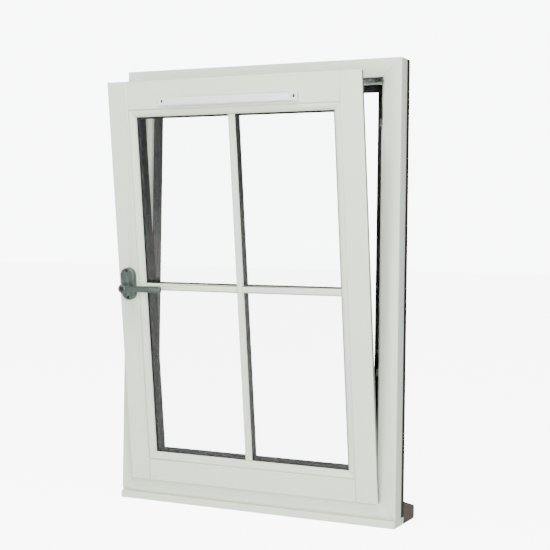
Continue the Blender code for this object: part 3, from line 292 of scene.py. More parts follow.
# ---------------------------------------------------------------- finishes
@dataclass(frozen=True)
class Finish:
    """A surface finish with uneven colour and gloss, streaks, worn edges and dust."""

    name: str
    color: tuple[float, float, float]
    shade: tuple[float, float, float]
    roughness: float
    metallic: float = 0.0
    amount: float = 0.2
    spread: float = 0.08
    skin: float = 0.02
    streaks: tuple[float, float, float] = (60.0, 60.0, 3.0)
    streak_share: float = 0.0
    streak_height: float = 0.0
    worn: tuple[float, float, float] = (0.5, 0.5, 0.5)
    wear: float = 0.0
    dust: float = 0.0
    coat: float = 0.0
    specular: float = 0.5

    def build(self) -> bpy.types.Material:
        """Make the material.

        Returns:
            The finished material.
        """
        made = bpy.data.materials.new(self.name)
        made.use_nodes = True
        tree = made.node_tree
        shader = tree.nodes["Principled BSDF"]
        shader.inputs["Metallic"].default_value = self.metallic
        shader.inputs["Coat Weight"].default_value = self.coat
        shader.inputs["Coat Roughness"].default_value = 0.3
        shader.inputs["Specular IOR Level"].default_value = self.specular
        mottle = self.place(tree, Effect.MOTTLE, Color=(*self.color, 1), Shade=(*self.shade, 1),
                            Amount=self.amount, Roughness=self.roughness, Spread=self.spread)
        color = mottle.outputs["Color"]
        height = EFFECTS.math(tree, "MULTIPLY", mottle.outputs["Height"], self.skin)
        if self.streak_share or self.streak_height:
            grain = self.place(tree, Effect.GRAIN, Stretch=self.streaks)
            share = EFFECTS.math(tree, "MULTIPLY", grain.outputs["Mask"], self.streak_share)
            color = self.tint(tree, share, color, self.shade)
            lift = EFFECTS.math(tree, "MULTIPLY", grain.outputs["Height"], self.streak_height)
            height = EFFECTS.math(tree, "ADD", height, lift)
        if self.wear:
            mask = self.place(tree, Effect.WEAR, Amount=self.wear).outputs["Mask"]
            color = self.tint(tree, mask, color, self.worn)
        if self.dust:
            mask = self.place(tree, Effect.DUST, Amount=self.dust).outputs["Mask"]
            color = self.tint(tree, mask, color, (0.55, 0.52, 0.47))
        bump = tree.nodes.new("ShaderNodeBump")
        bump.inputs["Distance"].default_value = 0.001
        bump.inputs["Strength"].default_value = 0.6
        tree.links.new(height, bump.inputs["Height"])
        tree.links.new(bump.outputs["Normal"], shader.inputs["Normal"])
        tree.links.new(color, shader.inputs["Base Color"])
        tree.links.new(mottle.outputs["Roughness"], shader.inputs["Roughness"])
        return made

    def place(self, tree: bpy.types.NodeTree, effect: Effect, **values: object) -> bpy.types.Node:
        """Place a shared effect in the material.

        Args:
            tree: The material's tree.
            effect: The effect to place.
            **values: Values of its input sockets.

        Returns:
            The group node.
        """
        node = tree.nodes.new("ShaderNodeGroup")
        node.node_tree = EFFECTS.group(effect)
        for name, value in values.items():
            node.inputs[name].default_value = value
        return node

    def tint(self, tree: bpy.types.NodeTree, mask: bpy.types.NodeSocket,
             color: bpy.types.NodeSocket, over: tuple[float, float, float]) -> bpy.types.NodeSocket:
        """Lay a second colour over the first where a mask is high.

        Args:
            tree: The material's tree.
            mask: Share of the second colour.
            color: The first colour.
            over: The second colour.

        Returns:
            The mixed colour's socket.
        """
        node = tree.nodes.new("ShaderNodeMix")
        node.data_type = "RGBA"
        node.inputs[7].default_value = (*over, 1)
        tree.links.new(mask, node.inputs["Factor"])
        tree.links.new(color, node.inputs[6])
        return node.outputs[2]


@dataclass(frozen=True)
class GlassFinish:
    """Clear float glass with a faint, patchy haze."""

    name: str
    color: tuple[float, float, float] = (0.99, 1.0, 0.995)
    haze: float = 0.004

    def build(self) -> bpy.types.Material:
        """Make the material.

        Returns:
            The finished material.
        """
        made = bpy.data.materials.new(self.name)
        made.use_nodes = True
        tree = made.node_tree
        shader = tree.nodes["Principled BSDF"]
        shader.inputs["Base Color"].default_value = (*self.color, 1)
        shader.inputs["Transmission Weight"].default_value = 1.0
        shader.inputs["IOR"].default_value = 1.45
        shader.inputs["Specular IOR Level"].default_value = 0.12
        cloud = EFFECTS.noise(tree, 9.0, 2.0).outputs["Fac"]
        spread = EFFECTS.math(tree, "MULTIPLY", EFFECTS.ramp(tree, cloud, 0.45, 0.8), self.haze)
        tree.links.new(spread, shader.inputs["Roughness"])
        return made


@dataclass(frozen=True)
class FloorFinish:
    """Plain pale studio floor that is shown nearly as bright as the backdrop."""

    name: str
    color: tuple[float, float, float] = (0.90, 0.90, 0.895)
    glow: float = 7.5

    def build(self) -> bpy.types.Material:
        """Make the material.

        Returns:
            The finished material.
        """
        made = bpy.data.materials.new(self.name)
        made.use_nodes = True
        tree = made.node_tree
        shader = tree.nodes["Principled BSDF"]
        shader.inputs["Specular IOR Level"].default_value = 0.1
        shader.inputs["Emission Strength"].default_value = self.glow
        group = tree.nodes.new("ShaderNodeGroup")
        group.node_tree = EFFECTS.group(Effect.MOTTLE)
        for name, value in (("Color", (*self.color, 1)), ("Shade", (0.87, 0.87, 0.865, 1)), ("Amount", 0.3),
                            ("Roughness", 0.6), ("Spread", 0.05)):
            group.inputs[name].default_value = value
        tree.links.new(group.outputs["Color"], shader.inputs["Base Color"])
        tree.links.new(group.outputs["Roughness"], shader.inputs["Roughness"])
        seen = EFFECTS.straight_view(tree)
        tree.links.new(seen, shader.inputs["Emission Color"])
        return made


FINISHES: dict[str, "Finish | GlassFinish | FloorFinish"] = {
    "white_paint": Finish("painted_wood_white", (0.75, 0.83, 0.68), (0.66, 0.73, 0.54), 0.34,
                          amount=0.16, spread=0.10, skin=0.05, streak_share=0.05, streak_height=0.05,
                          worn=(0.88, 0.89, 0.86), wear=0.2, dust=0.08, coat=0.15),
    "white_paint_level": Finish("painted_wood_white_level", (0.75, 0.83, 0.68), (0.66, 0.73, 0.54), 0.34,
                                amount=0.16, spread=0.10, skin=0.05, streaks=(3.0, 60.0, 60.0),
                                streak_share=0.05, streak_height=0.05, worn=(0.86, 0.86, 0.84),
                                wear=0.25, dust=0.10, coat=0.15),
    # Cladding: its own dark brown coat, with the base colour taken darker still as painted shade for the cladding
    # faces that sit in shade behind the glass.
    "dark_cladding": Finish("coated_cladding_dark_painted_shade", (0.014, 0.011, 0.0095), (0.024, 0.020, 0.017), 0.50,
                            amount=0.35, spread=0.12, skin=0.12, worn=(0.03, 0.027, 0.024), wear=0.2,
                            dust=0.02, specular=0.12),
    "sill_brown": Finish("stained_sill_brown", (0.075, 0.046, 0.033), (0.038, 0.022, 0.016), 0.5,
                         amount=0.4, skin=0.08, streaks=(3.0, 60.0, 60.0), streak_share=0.45,
                         streak_height=0.25, worn=(0.2, 0.14, 0.10), wear=0.4, dust=0.18),
    "black_rubber": Finish("rubber_seal_black", (0.010, 0.011, 0.012), (0.022, 0.023, 0.024), 0.62,
                           amount=0.5, skin=0.15, dust=0.08, specular=0.35),
    "zinc_plate": Finish("zinc_plated_steel", (0.60, 0.615, 0.63), (0.42, 0.43, 0.45), 0.30, metallic=1.0,
                         amount=0.4, skin=0.04, streak_share=0.25, streak_height=0.08,
                         worn=(0.75, 0.75, 0.76), wear=0.4),
    # Plated steel of the stay arm and hinge parts: a dark plated finish, its colour taken darker still as painted
    # shade for the shaded gap at the head.
    "dark_plate": Finish("plated_steel_dark_painted_shade", (0.030, 0.032, 0.038), (0.015, 0.016, 0.02), 0.42,
                         metallic=0.5, amount=0.4, skin=0.04, streak_share=0.25, streak_height=0.08,
                         worn=(0.25, 0.25, 0.26), wear=0.5),
    "satin_zinc": Finish("satin_zinc_casting", (0.115, 0.14, 0.13), (0.06, 0.075, 0.07), 0.38, metallic=0.75,
                         amount=0.45, spread=0.14, skin=0.10, streaks=(4.0, 60.0, 60.0), streak_share=0.2,
                         streak_height=0.05, worn=(0.45, 0.48, 0.46), wear=0.5),
    "black_steel": Finish("blackened_steel", (0.016, 0.016, 0.017), (0.04, 0.04, 0.042), 0.32, metallic=0.6,
                          amount=0.4, skin=0.05, worn=(0.3, 0.3, 0.3), wear=0.5),
    "spacer_black": Finish("spacer_bar_black", (0.006, 0.006, 0.007), (0.012, 0.012, 0.012), 0.55,
                           amount=0.4, skin=0.02, specular=0.05),
    "white_plastic": Finish("moulded_white_plastic", (0.86, 0.87, 0.855), (0.78, 0.79, 0.77), 0.26,
                            amount=0.15, skin=0.03, dust=0.06),
    "clear_glass": GlassFinish("float_glass_clear"),
    "floor": FloorFinish("pale_floor"),
}


class Palette:
    """Makes each finish's material once."""

    def __init__(self) -> None:
        """Start with no materials made."""
        self.made: dict[str, bpy.types.Material] = {}

    def get(self, name: str) -> bpy.types.Material:
        """Return a finish's material.

        Args:
            name: Key in FINISHES.

        Returns:
            The material.
        """
        if name not in self.made:
            self.made[name] = FINISHES[name].build()
        return self.made[name]


# ---------------------------------------------------------------- places read from the frame
class Places:
    """Reads bodies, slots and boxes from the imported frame, with the sash shut or at rest."""

    def __init__(self) -> None:
        """Read the tilt joint and list which body and slot each node has."""
        record = frame["record"]
        self.body_of: dict[str, str] = {}
        for body, nodes in record["behaviour"]["bodies"].items():
            for node in nodes:
                self.body_of[node] = body
        self.slot_of: dict[str, str] = {}
        for row in record["subparts"]:
            self.slot_of[row["node"]] = row["material_slot"]
        joints = {joint["name"]: joint for joint in frame["joints"]}
        tilt = joints["tilt"]
        pivot = Matrix.Translation(tilt["pos_m"])
        angle = radians(-tilt["range_deg"][0])
        self.lean = pivot @ Matrix.Rotation(angle, 4, Vector(tilt["axis"])) @ pivot.inverted()
        self.upright = self.lean.inverted()

    def shut_box(self, node: str) -> tuple[Vector, Vector]:
        """Give a sash node's lowest and highest corners with the sash shut.

        Args:
            node: The CAD node.

        Returns:
            Lowest and highest corner.
        """
        points = [self.upright @ vertex.co for vertex in frame["nodes"][node].data.vertices]
        low = Vector(min(point[i] for point in points) for i in range(3))
        high = Vector(max(point[i] for point in points) for i in range(3))
        return low, high


# ---------------------------------------------------------------- mesh work
def arc(centre: tuple[float, float], radius: float, start: float, end: float, steps: int) -> Outline:
    """Give points on an arc, both ends included.

    Args:
        centre: Centre of the arc.
        radius: Its radius.
        start: First angle in degrees.
        end: Last angle in degrees.
        steps: Number of chords.

    Returns:
        The points.
    """
    angles = [radians(start + (end - start) * i / steps) for i in range(steps + 1)]
    return [(centre[0] + radius * cos(a), centre[1] + radius * sin(a)) for a in angles]


class MeshShop:
    """Turns outlines, rings and stations into finished, dressed pieces."""

    def __init__(self, places: Places, palette: Palette) -> None:
        """Keep the places and the palette."""
        self.places = places
        self.palette = palette

    def finish_piece(self, name: str, bm: bmesh.types.BMesh, body: str, finish: str,
                     leaning: bool = False, sharp: float = 38.0, slot: str = "") -> bpy.types.Object:
        """Make an object from a bmesh, dress it and let it ride on its body.

        Args:
            name: Piece name.
            bm: Its mesh, freed afterwards.
            body: CAD body that it moves with.
            finish: Key of its finish.
            leaning: Whether it was made with the sash shut and must be leant.
            sharp: Angle in degrees above which an edge stays sharp.
            slot: The record's material slot, or nothing where the finish has its name; not used.

        Returns:
            The object.
        """
        bmesh.ops.recalc_face_normals(bm, faces=bm.faces)
        if leaning:
            bm.transform(self.places.lean)
        mesh = bpy.data.meshes.new(name)
        bm.to_mesh(mesh)
        bm.free()
        mesh.shade_smooth()
        mesh.set_sharp_from_angle(angle=radians(sharp))
        mesh.materials.append(self.palette.get(finish))
        made = bpy.data.objects.new(name, mesh)
        bpy.context.scene.collection.objects.link(made)
        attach(made, body)
        return made

    def stand_for(self, piece: bpy.types.Object, *nodes: str) -> bpy.types.Object:
        """Hide the CAD nodes that a piece is shown in place of.

        Args:
            piece: The new piece.
            *nodes: The CAD nodes that it stands for.

        Returns:
            The piece.
        """
        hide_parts(*nodes)
        return piece

    def refine(self, node: str, width: float, finish: str | None = None, segments: int = 3,
               edge: float = 28.0) -> bpy.types.Object:
        """Show a CAD node with its edges eased and its flat faces made whole.

        Args:
            node: The CAD node.
            width: Width of the eased edges.
            finish: Key of the finish, or the node's own slot.
            segments: Facets across an eased edge.
            edge: Angle in degrees above which an edge is eased.

        Returns:
            The new piece, which stands for the node.
        """
        bm = bmesh.new()
        bm.from_mesh(frame["nodes"][node].data)
        bmesh.ops.remove_doubles(bm, verts=bm.verts, dist=0.00002)
        bmesh.ops.dissolve_limit(bm, angle_limit=radians(1.0), verts=bm.verts, edges=bm.edges)
        self.ease(bm, width, segments, edge)
        slot = self.places.slot_of[node]
        piece = self.finish_piece("fine_" + node, bm, self.places.body_of[node], finish or slot, slot=slot)
        return self.stand_for(piece, node)

    def ease(self, bm: bmesh.types.BMesh, width: float, segments: int = 3, edge: float = 28.0) -> None:
        """Round every edge sharper than an angle.

        Args:
            bm: The mesh.
            width: Width of the rounding.
            segments: Facets across it.
            edge: Angle in degrees.
        """
        limit = radians(edge)
        sharp = [e for e in bm.edges if len(e.link_faces) == 2 and e.calc_face_angle(0.0) > limit]
        bmesh.ops.bevel(bm, geom=sharp, offset=width, segments=segments, profile=0.6,
                        affect="EDGES", clamp_overlap=True)

    def box(self, low: Sequence[float], high: Sequence[float]) -> bmesh.types.BMesh:
        """Give a box between two corners."""
        bm = bmesh.new()
        bmesh.ops.create_cube(bm, size=1.0)
        bmesh.ops.scale(bm, vec=Vector(high) - Vector(low), verts=bm.verts)
        bmesh.ops.translate(bm, vec=(Vector(high) + Vector(low)) / 2, verts=bm.verts)
        return bm

    def turned(self, profile: Outline, centre: Vector, axis: Vector, steps: int = 48) -> bmesh.types.BMesh:
        """Turn a profile about an axis.

        Args:
            profile: Points as (radius, distance along the axis); radius 0 closes an end.
            centre: Where distance 0 lies.
            axis: Direction of the axis.
            steps: Facets around.

        Returns:
            The closed mesh.
        """
        bm = bmesh.new()
        rings = []
        for radius, along in profile:
            if radius == 0:
                rings.append([bm.verts.new((0, 0, along))])
            else:
                spots = arc((0, 0), radius, 0, 360 - 360 / steps, steps - 1)
                rings.append([bm.verts.new((x, y, along)) for x, y in spots])
        for here, there in zip(rings, rings[1:]):
            for i in range(steps):
                j = (i + 1) % steps
                if len(here) == 1:
                    bm.faces.new((here[0], there[i], there[j]))
                elif len(there) == 1:
                    bm.faces.new((here[i], here[j], there[0]))
                else:
                    bm.faces.new((here[i], here[j], there[j], there[i]))
        turn = Vector((0, 0, 1)).rotation_difference(axis).to_matrix().to_4x4()
        bm.transform(Matrix.Translation(centre) @ turn)
        return bm

    def faced(self, profile: Outline, x: float, y: float, z: float, steps: int) -> bmesh.types.BMesh:
        """Turn a profile about a line that points into the room.

        Args:
            profile: Points as (radius, distance towards the room).
            x: Place of the line's start.
            y: Depth of the line's start.
            z: Height of the line's start.
            steps: Sides round the turn.

        Returns:
            The turned piece.
        """
        return self.turned(profile, Vector((x, y, z)), Vector((0, -1, 0)), steps)

    def lofted(self, rings: Sequence[Sequence[Vector]]) -> bmesh.types.BMesh:
        """Skin closed rings of equal length and cap both ends.

        Args:
            rings: The rings, in order.

        Returns:
            The closed mesh.
        """
        bm = bmesh.new()
        loops = [[bm.verts.new(point) for point in ring] for ring in rings]
        count = len(loops[0])
        for here, there in zip(loops, loops[1:]):
            for i in range(count):
                j = (i + 1) % count
                bm.faces.new((here[i], here[j], there[j], there[i]))
        bm.faces.new(reversed(loops[0]))
        bm.faces.new(loops[-1])
        return bm

    def framed(self, profile: Outline, low: Vector, high: Vector) -> bmesh.types.BMesh:
        """Run a profile round an upright rectangle with mitred corners.

        Args:
            profile: Points as (distance inward, y).
            low: Lowest corner of the rectangle.
            high: Highest corner.

        Returns:
            The closed ring.
        """
        bm = bmesh.new()
        corners = ((low.x, low.z, 1, 1), (high.x, low.z, -1, 1),
                   (high.x, high.z, -1, -1), (low.x, high.z, 1, -1))
        loops = [[bm.verts.new((x + a * u, y, z + b * u)) for u, y in profile] for x, z, a, b in corners]
        count = len(profile)
        for here, there in zip(loops, loops[1:] + loops[:1]):
            for i in range(count):
                j = (i + 1) % count
                bm.faces.new((here[i], here[j], there[j], there[i]))
        return bm

    def merged(self, parts: Iterable[bmesh.types.BMesh]) -> bmesh.types.BMesh:
        """Put several meshes into one.

        Args:
            parts: The meshes, freed afterwards.

        Returns:
            One mesh with all of them.
        """
        whole = bmesh.new()
        for part in parts:
            mesh = bpy.data.meshes.new("part")
            part.to_mesh(mesh)
            part.free()
            whole.from_mesh(mesh)
            bpy.data.meshes.remove(mesh)
        return whole

    def carved(self, body: bmesh.types.BMesh, tools: Sequence[bmesh.types.BMesh]) -> bmesh.types.BMesh:
        """Cut shapes out of a body.

        Args:
            body: The mesh to cut, freed afterwards.
            tools: The shapes to take away, freed afterwards.

        Returns:
            The cut mesh.
        """
        target = self.loose_object("carved", body)
        others = []
        for number, tool in enumerate(tools):
            bmesh.ops.recalc_face_normals(tool, faces=tool.faces)
            other = self.loose_object(f"tool_{number}", tool)
            others.append(other)
            change = target.modifiers.new(f"cut_{number}", "BOOLEAN")
            change.operation = "DIFFERENCE"
            change.object = other
        graph = bpy.context.evaluated_depsgraph_get()
        mesh = bpy.data.meshes.new_from_object(target.evaluated_get(graph))
        result = bmesh.new()
        result.from_mesh(mesh)
        for item in (target, *others):
            bpy.data.objects.remove(item, do_unlink=True)
        bpy.data.meshes.remove(mesh)
        return result

    def loose_object(self, name: str, bm: bmesh.types.BMesh) -> bpy.types.Object:
        """Put a mesh in the scene for a moment, as an object."""
        bmesh.ops.recalc_face_normals(bm, faces=bm.faces)
        mesh = bpy.data.meshes.new(name)
        bm.to_mesh(mesh)
        bm.free()
        made = bpy.data.objects.new(name, mesh)
        bpy.context.scene.collection.objects.link(made)
        return made


# ---------------------------------------------------------------- sub-assemblies
@dataclass
class OuterFrame:
    """The fixed wood frame, its cladding, base strip, sill and seal."""

    shop: MeshShop
    wood_edge: float = 0.0022
    metal_edge: float = 0.0009

    def build(self) -> None:
        """Build and dress every fixed joinery piece."""
        for node in ("frame_left_jamb", "frame_right_jamb"):
            self.shop.refine(node, self.wood_edge)
        for node in ("frame_head", "frame_bottom_rail", "base_strip"):
            self.shop.refine(node, self.wood_edge, "white_paint_level")
        # The cladding's finish is its dark coat darkened further as painted shade.
        for node in ("cladding_head", "cladding_left_jamb", "cladding_right_jamb", "cladding_bottom_rail"):
            self.shop.refine(node, self.metal_edge)
        self.shop.refine("outer_sill", 0.0018)
        self.build_seal()

    def build_seal(self) -> None:
        """Make the stop's seal with a foot and a soft rounded lip."""
        low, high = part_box("frame_gasket")
        back, front = high.y, low.y
        wide = 0.0125
        profile = [(0.0, back), (0.0, back - 0.0012), (0.0022, back - 0.0014)]
        profile += arc((0.0045, front + 0.0012), 0.0011, 200, 340, 6)
        profile += [(0.0072, back - 0.0012), (wide, back - 0.0010), (wide, back)]
        ring = self.shop.framed(profile, low, high)
        piece = self.shop.finish_piece("stop_seal", ring, "frame", "black_rubber")
        self.shop.stand_for(piece, "frame_gasket")


@dataclass
class Sash:
    """The leaning sash: wood members, cladding, beads and bars."""

    shop: MeshShop
    wood_edge: float = 0.0005
    bead_edge: float = 0.0007

    def build(self) -> None:
        """Build and dress the sash's joinery."""
        for node in ("sash_left_stile", "sash_right_stile"):
            self.shop.refine(node, self.wood_edge, segments=2, edge=50.0)
        for node in ("sash_top_rail", "sash_bottom_rail"):
            self.shop.refine(node, self.wood_edge, "white_paint_level", segments=2, edge=50.0)
        for side in Side:
            level = side in (Side.TOP, Side.BOTTOM)
            self.shop.refine(f"glazing_bead_{side.value}", self.bead_edge,
                             "white_paint_level" if level else "white_paint", 2, 40.0)
            self.shop.refine(f"sash_cladding_{side.value}", 0.0009)
        self.shop.refine("inner_vertical_bar", 0.0012)
        self.shop.refine("inner_horizontal_bar", 0.0012, "white_paint_level")
        self.shop.refine("outer_vertical_bar", 0.0010)
        self.shop.refine("outer_horizontal_bar", 0.0010)


@dataclass
class GlassUnit:
    """Two panes, the spacer between them and the outer seal."""

    shop: MeshShop
    arris: float = 0.0006
    seal_edge: float = 0.0005

    def build(self) -> None:
        """Dress the panes and build the spacer and the seal."""
        for node in ("inner_pane", "outer_pane"):
            self.shop.refine(node, self.arris, segments=1)
        self.shop.refine("glass_spacer", self.arris, "spacer_black", 2)
        self.shop.refine("glazing_seal", self.seal_edge, "black_rubber", 2)


@dataclass
class LockingHardware:
    """Keeps, brackets, stay, faceplates, rods and the screws that hold them."""

    shop: MeshShop
    edge: float = 0.0004
    screw_radius: float = 0.0032
    sunk: float = 0.0004
    dome: float = 0.0008
    slot_width: float = 0.0005
    keep_plate: float = 0.0025
    screw_steps: tuple[float, float] = (0.008, 0.021)
    screw_inset: float = 0.006

    def build(self) -> None:
        """Dress the plated pieces and add their screws."""
        keeps = ("tilt_keep", "left_keep_middle", "left_keep_upper", "right_keep_middle",
                 "right_keep_upper", "head_keep")
        for node in keeps:
            self.shop.refine(node, self.edge, segments=2)
        # dark_plate is a dark finish that also carries painted shade for the shaded gaps these parts sit in.
        for node in ("lower_hinge_bracket", "upper_hinge_bracket", "hinge_carrier", "stay_arm"):
            self.shop.refine(node, self.edge, "dark_plate", 2)
        for node in ("faceplate_left", "faceplate_right", "faceplate_top", "drive_rod_left",
                     "drive_rod_right", "drive_rod_top", "gearbox_case", "gearbox_hub", "handle_spindle"):
            self.shop.refine(node, self.edge, segments=1)
        self.build_keep_screws(keeps)

    def build_keep_screws(self, keeps: Sequence[str]) -> None:
        """Put two countersunk screws in each keep's base plate.

        Args:
            keeps: The keep nodes.
        """
        heads = []
        for node in keeps:
            low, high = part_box(node)
            middle = (low + high) / 2
            if node == "head_keep":
                face, axis = Vector((0, 0, high.z - self.keep_plate)), Vector((0, 0, -1))
                along = Vector((1, 0, 0))
            else:
                sign = -1 if middle.x < 0 else 1
                base = low.x + self.keep_plate if sign < 0 else high.x - self.keep_plate
                face, axis, along = Vector((base, 0, 0)), Vector((-sign, 0, 0)), Vector((0, 0, 1))
            for step in self.screw_steps:
                spot = Vector((middle.x, high.y - self.screw_inset, middle.z)) + along * step
                for i in range(3):
                    if axis[i]:
                        spot[i] = face[i]
                heads.append(self.screw_head(spot, axis))
        piece = self.shop.finish_piece("keep_screws", self.shop.merged(heads), "frame", "zinc_plate")
        log.info("made %s", piece.name)

    def screw_head(self, spot: Vector, axis: Vector) -> bmesh.types.BMesh:
        """Give a low domed screw head with a cross recess.

        Args:
            spot: Middle of the head, on the plate.
            axis: Direction that the head faces.

        Returns:
            The head.
        """
        r = self.screw_radius
        profile = [(0, -self.sunk), (r, -self.sunk), (r, 0.0001), (r * 0.8, 0.0006), (r * 0.4, self.dome),
                   (0, self.dome)]
        head = self.shop.turned(profile, Vector((0, 0, 0)), Vector((0, 0, 1)), 20)
        slots = []
        for wide, deep in ((r * 1.1, self.slot_width), (self.slot_width, r * 1.1)):
            slots.append(self.shop.box((-wide / 2, -deep / 2, 0.0003), (wide / 2, deep / 2, 0.002)))
        head = self.shop.carved(head, slots)
        turn = Vector((0, 0, 1)).rotation_difference(axis).to_matrix().to_4x4()
        head.transform(Matrix.Translation(spot) @ turn)
        return head


@dataclass
class LeverHandle:
    """Oval plate, round boss with a key lock, and the flat lever."""

    shop: MeshShop
    rim: float = 0.0032
    ring_steps: int = 40
    blade_root: float = 0.0150
    blade_tip: float = 0.0165
    blade_thick: float = 0.0095
    blade_setback: float = 0.0030
    tip_round: float = 0.0055
    screw_bore: float = 0.0041
    sink_bore: float = 0.0050
    sink_depth: float = 0.0004
    neck_bore: float = 0.0076
    past: float = 0.02
    cross_width: float = 0.0005
    neck_step: float = 0.0009
    key_wall: float = 0.0004
    key_depth: float = 0.0150
    square: float = 0.0036
    rib_count: int = 9
    rib_pitch: float = 0.0030
    rib_half: float = 0.0006
    slit_half: float = 0.0007
    slit_reach: float = 0.0031

    def build(self) -> None:
        """Build every piece of the handle."""
        self.build_plate()
        self.build_screws()
        self.build_lever()
        self.build_lock()

    def outline(self, middle: Vector, width: float, height: float, inset: float) -> Outline:
        """Give the plate's outline, pulled in by an inset.

        Args:
            middle: Middle of the plate.
            width: Full width.
            height: Full height.
            inset: Distance inward.

        Returns:
            Points as (x, z).
        """
        r = width / 2 - inset
        straight = (height - width) / 2
        top = arc((middle.x, middle.z + straight), r, 0, 180, self.ring_steps // 2)
        return top + arc((middle.x, middle.z - straight), r, 180, 360, self.ring_steps // 2)

    def build_plate(self) -> None:
        """Make the oval plate with a rolled rim, a hole for the neck and two screw bores."""
        low, high = self.shop.places.shut_box("handle_rosette")
        middle = (low + high) / 2
        width, height = high.x - low.x, high.z - low.z
        rings = []
        stations = [(0.0, high.y), (0.0, low.y + self.rim + 0.002)]
        for x, y in arc((self.rim, low.y + self.rim), self.rim, 180, 270, 6):
            stations.append((x, y))
        stations.append((self.rim + 0.004, low.y))
        for inset, y in stations:
            rings.append([Vector((x, y, z)) for x, z in self.outline(middle, width, height, inset)])
        plate = self.shop.lofted(rings)
        spindle = self.shop.places.shut_box("handle_spindle")
        centre = (spindle[0] + spindle[1]) / 2
        tools = []
        for node in ("rosette_screw_top", "rosette_screw_bottom"):
            a, b = self.shop.places.shut_box(node)
            spot = (a + b) / 2
            profile = [(0, -self.past), (self.screw_bore, -self.past), (self.screw_bore, -self.sink_depth),
                       (self.sink_bore, 2 * self.sink_depth), (self.sink_bore, self.past / 2),
                       (0, self.past / 2)]
            tools.append(self.shop.faced(profile, spot.x, low.y, spot.z, 28))
        hole = [(0, -self.past), (self.neck_bore, -self.past), (self.neck_bore, self.past), (0, self.past)]
        tools.append(self.shop.faced(hole, centre.x, low.y, centre.z, 32))
        plate = self.shop.carved(plate, tools)
        piece = self.shop.finish_piece("lever_plate", plate, "sash", "satin_zinc", True, 30.0)
        self.shop.stand_for(piece, "handle_rosette")

    def build_screws(self) -> None:
        """Make the plate's two recessed screws with a cross recess."""
        for node in ("rosette_screw_top", "rosette_screw_bottom"):
            low, high = self.shop.places.shut_box(node)
            middle = (low + high) / 2
            r = (high.x - low.x) / 2
            deep = high.y - low.y
            profile = [(0, -deep), (r * 0.6, -deep), (r * 0.6, -0.003), (r, -0.001), (r, -0.0004),
                       (r * 0.85, 0), (0, 0)]
            head = self.shop.faced(profile, middle.x, low.y, middle.z, 28)
            arms = [self.shop.box((middle.x - a, low.y - 0.001, middle.z - b),
                                  (middle.x + a, low.y + 0.0016, middle.z + b))
                    for a, b in ((r * 0.62, self.cross_width), (self.cross_width, r * 0.62))]
            head = self.shop.carved(head, arms)
            piece = self.shop.finish_piece("plate_screw_" + node.rsplit("_", 1)[1], head, "sash",
                                           "black_steel", True)
            self.shop.stand_for(piece, node)

    def build_lever(self) -> None:
        """Make the boss and the blade, and join them by overlap within one casting."""
        low, high = self.shop.places.shut_box("lever_handle")
        key_low, key_high = self.shop.places.shut_box("key_cylinder")
        middle = (key_low + key_high) / 2
        radius = middle.x - low.x
        tip, root = low.y, high.y
        deep = root - tip
        soft = 0.0016
        key = (key_high.x - key_low.x) / 2 + self.key_wall
        profile = [(key + 0.0035, 0.0), (radius - 0.0006, 0.0), (radius, 0.0006), (radius, deep * 0.18)]
        neck = radius - self.neck_step
        profile += [(neck, deep * 0.26), (neck, deep - soft - 0.004)]
        profile += [(radius + soft * (cos(a) - 1), deep - soft + soft * sin(a))
                    for a in (radians(15 * i) for i in range(7))]
        profile += [(key + 0.0008, deep), (key, deep - 0.0006), (key, deep - self.key_depth),
                    (0.0, deep - self.key_depth)]
        profile = [(0.0, 0.0)] + profile
        boss = self.shop.faced(profile, middle.x, root, middle.z, 56)
        half = self.square
        boss = self.shop.carved(boss, [self.shop.box((middle.x - half, root - 0.008, middle.z - half),
                                                     (middle.x + half, root + 0.01, middle.z + half))])
        front = tip + self.blade_setback
        blade = self.blade(middle, high.x, front)
        piece = self.shop.finish_piece("lever_boss", boss, "handle", "satin_zinc", True, 30.0)
        self.shop.stand_for(piece, "lever_handle")
        self.shop.finish_piece("lever_blade", blade, "handle", "satin_zinc", True, 30.0)
        ribs = self.tip_ribs(middle, high.x, front)
        self.shop.finish_piece("lever_ribs", ribs, "handle", "satin_zinc", True, 30.0)

    def blade(self, middle: Vector, end: float, front: float) -> bmesh.types.BMesh:
        """Loft the flat lever from the boss to its blunt, slightly wider tip.

        Args:
            middle: Point on the spindle's axis.
            end: X of the tip.
            front: Y of the front face.

        Returns:
            The blade.
        """
        root, tip, r = self.blade_root / 2, self.blade_tip / 2, self.tip_round
        start = middle.x + 0.0072
        nose = end - r
        stations = [start + (nose - start) * i / 14 for i in range(15)]
        stations += [nose + r * sin(radians(a)) for a in (12, 24, 36, 48, 58, 67, 75, 81, 86)]
        rings = []
        for x in stations:
            share = min(1.0, (x - start) / (nose - start))
            half = root + (tip - root) * share ** 2.2
            depth = (self.blade_thick / 2) * (1 - 0.08 * share)
            if x > nose:
                drop = r - sqrt(max(0.0, r * r - (x - nose) ** 2))
                half, depth = half - drop, max(depth - 0.55 * drop, 0.001)
            ring = []
            for i in range(32):
                a = 2 * pi * i / 32
                z = half * (1 if sin(a) > 0 else -1) * abs(sin(a)) ** 0.5
                y = depth * (1 if cos(a) > 0 else -1) * abs(cos(a)) ** 0.5
                ring.append(Vector((x, front + self.blade_thick / 2 + y, middle.z + z)))
            rings.append(ring)
        return self.shop.lofted(rings)

    def tip_ribs(self, middle: Vector, end: float, front: float) -> bmesh.types.BMesh:
        """Give the fine grip ribs on the outer third of the lever's face.

        Args:
            middle: Point on the spindle's axis.
            end: X of the tip.
            front: Y of the front face.

        Returns:
            The ribs.
        """
        high = self.blade_tip * 0.32
        ribs = []
        for i in range(self.rib_count):
            x = end - self.tip_round - 0.0022 - i * self.rib_pitch
            rib = self.shop.box((x - self.rib_half, front + 0.0001, middle.z - high),
                                (x + self.rib_half, front + 0.0020, middle.z + high))
            self.shop.ease(rib, 0.0003, 2)
            ribs.append(rib)
        return self.shop.merged(ribs)

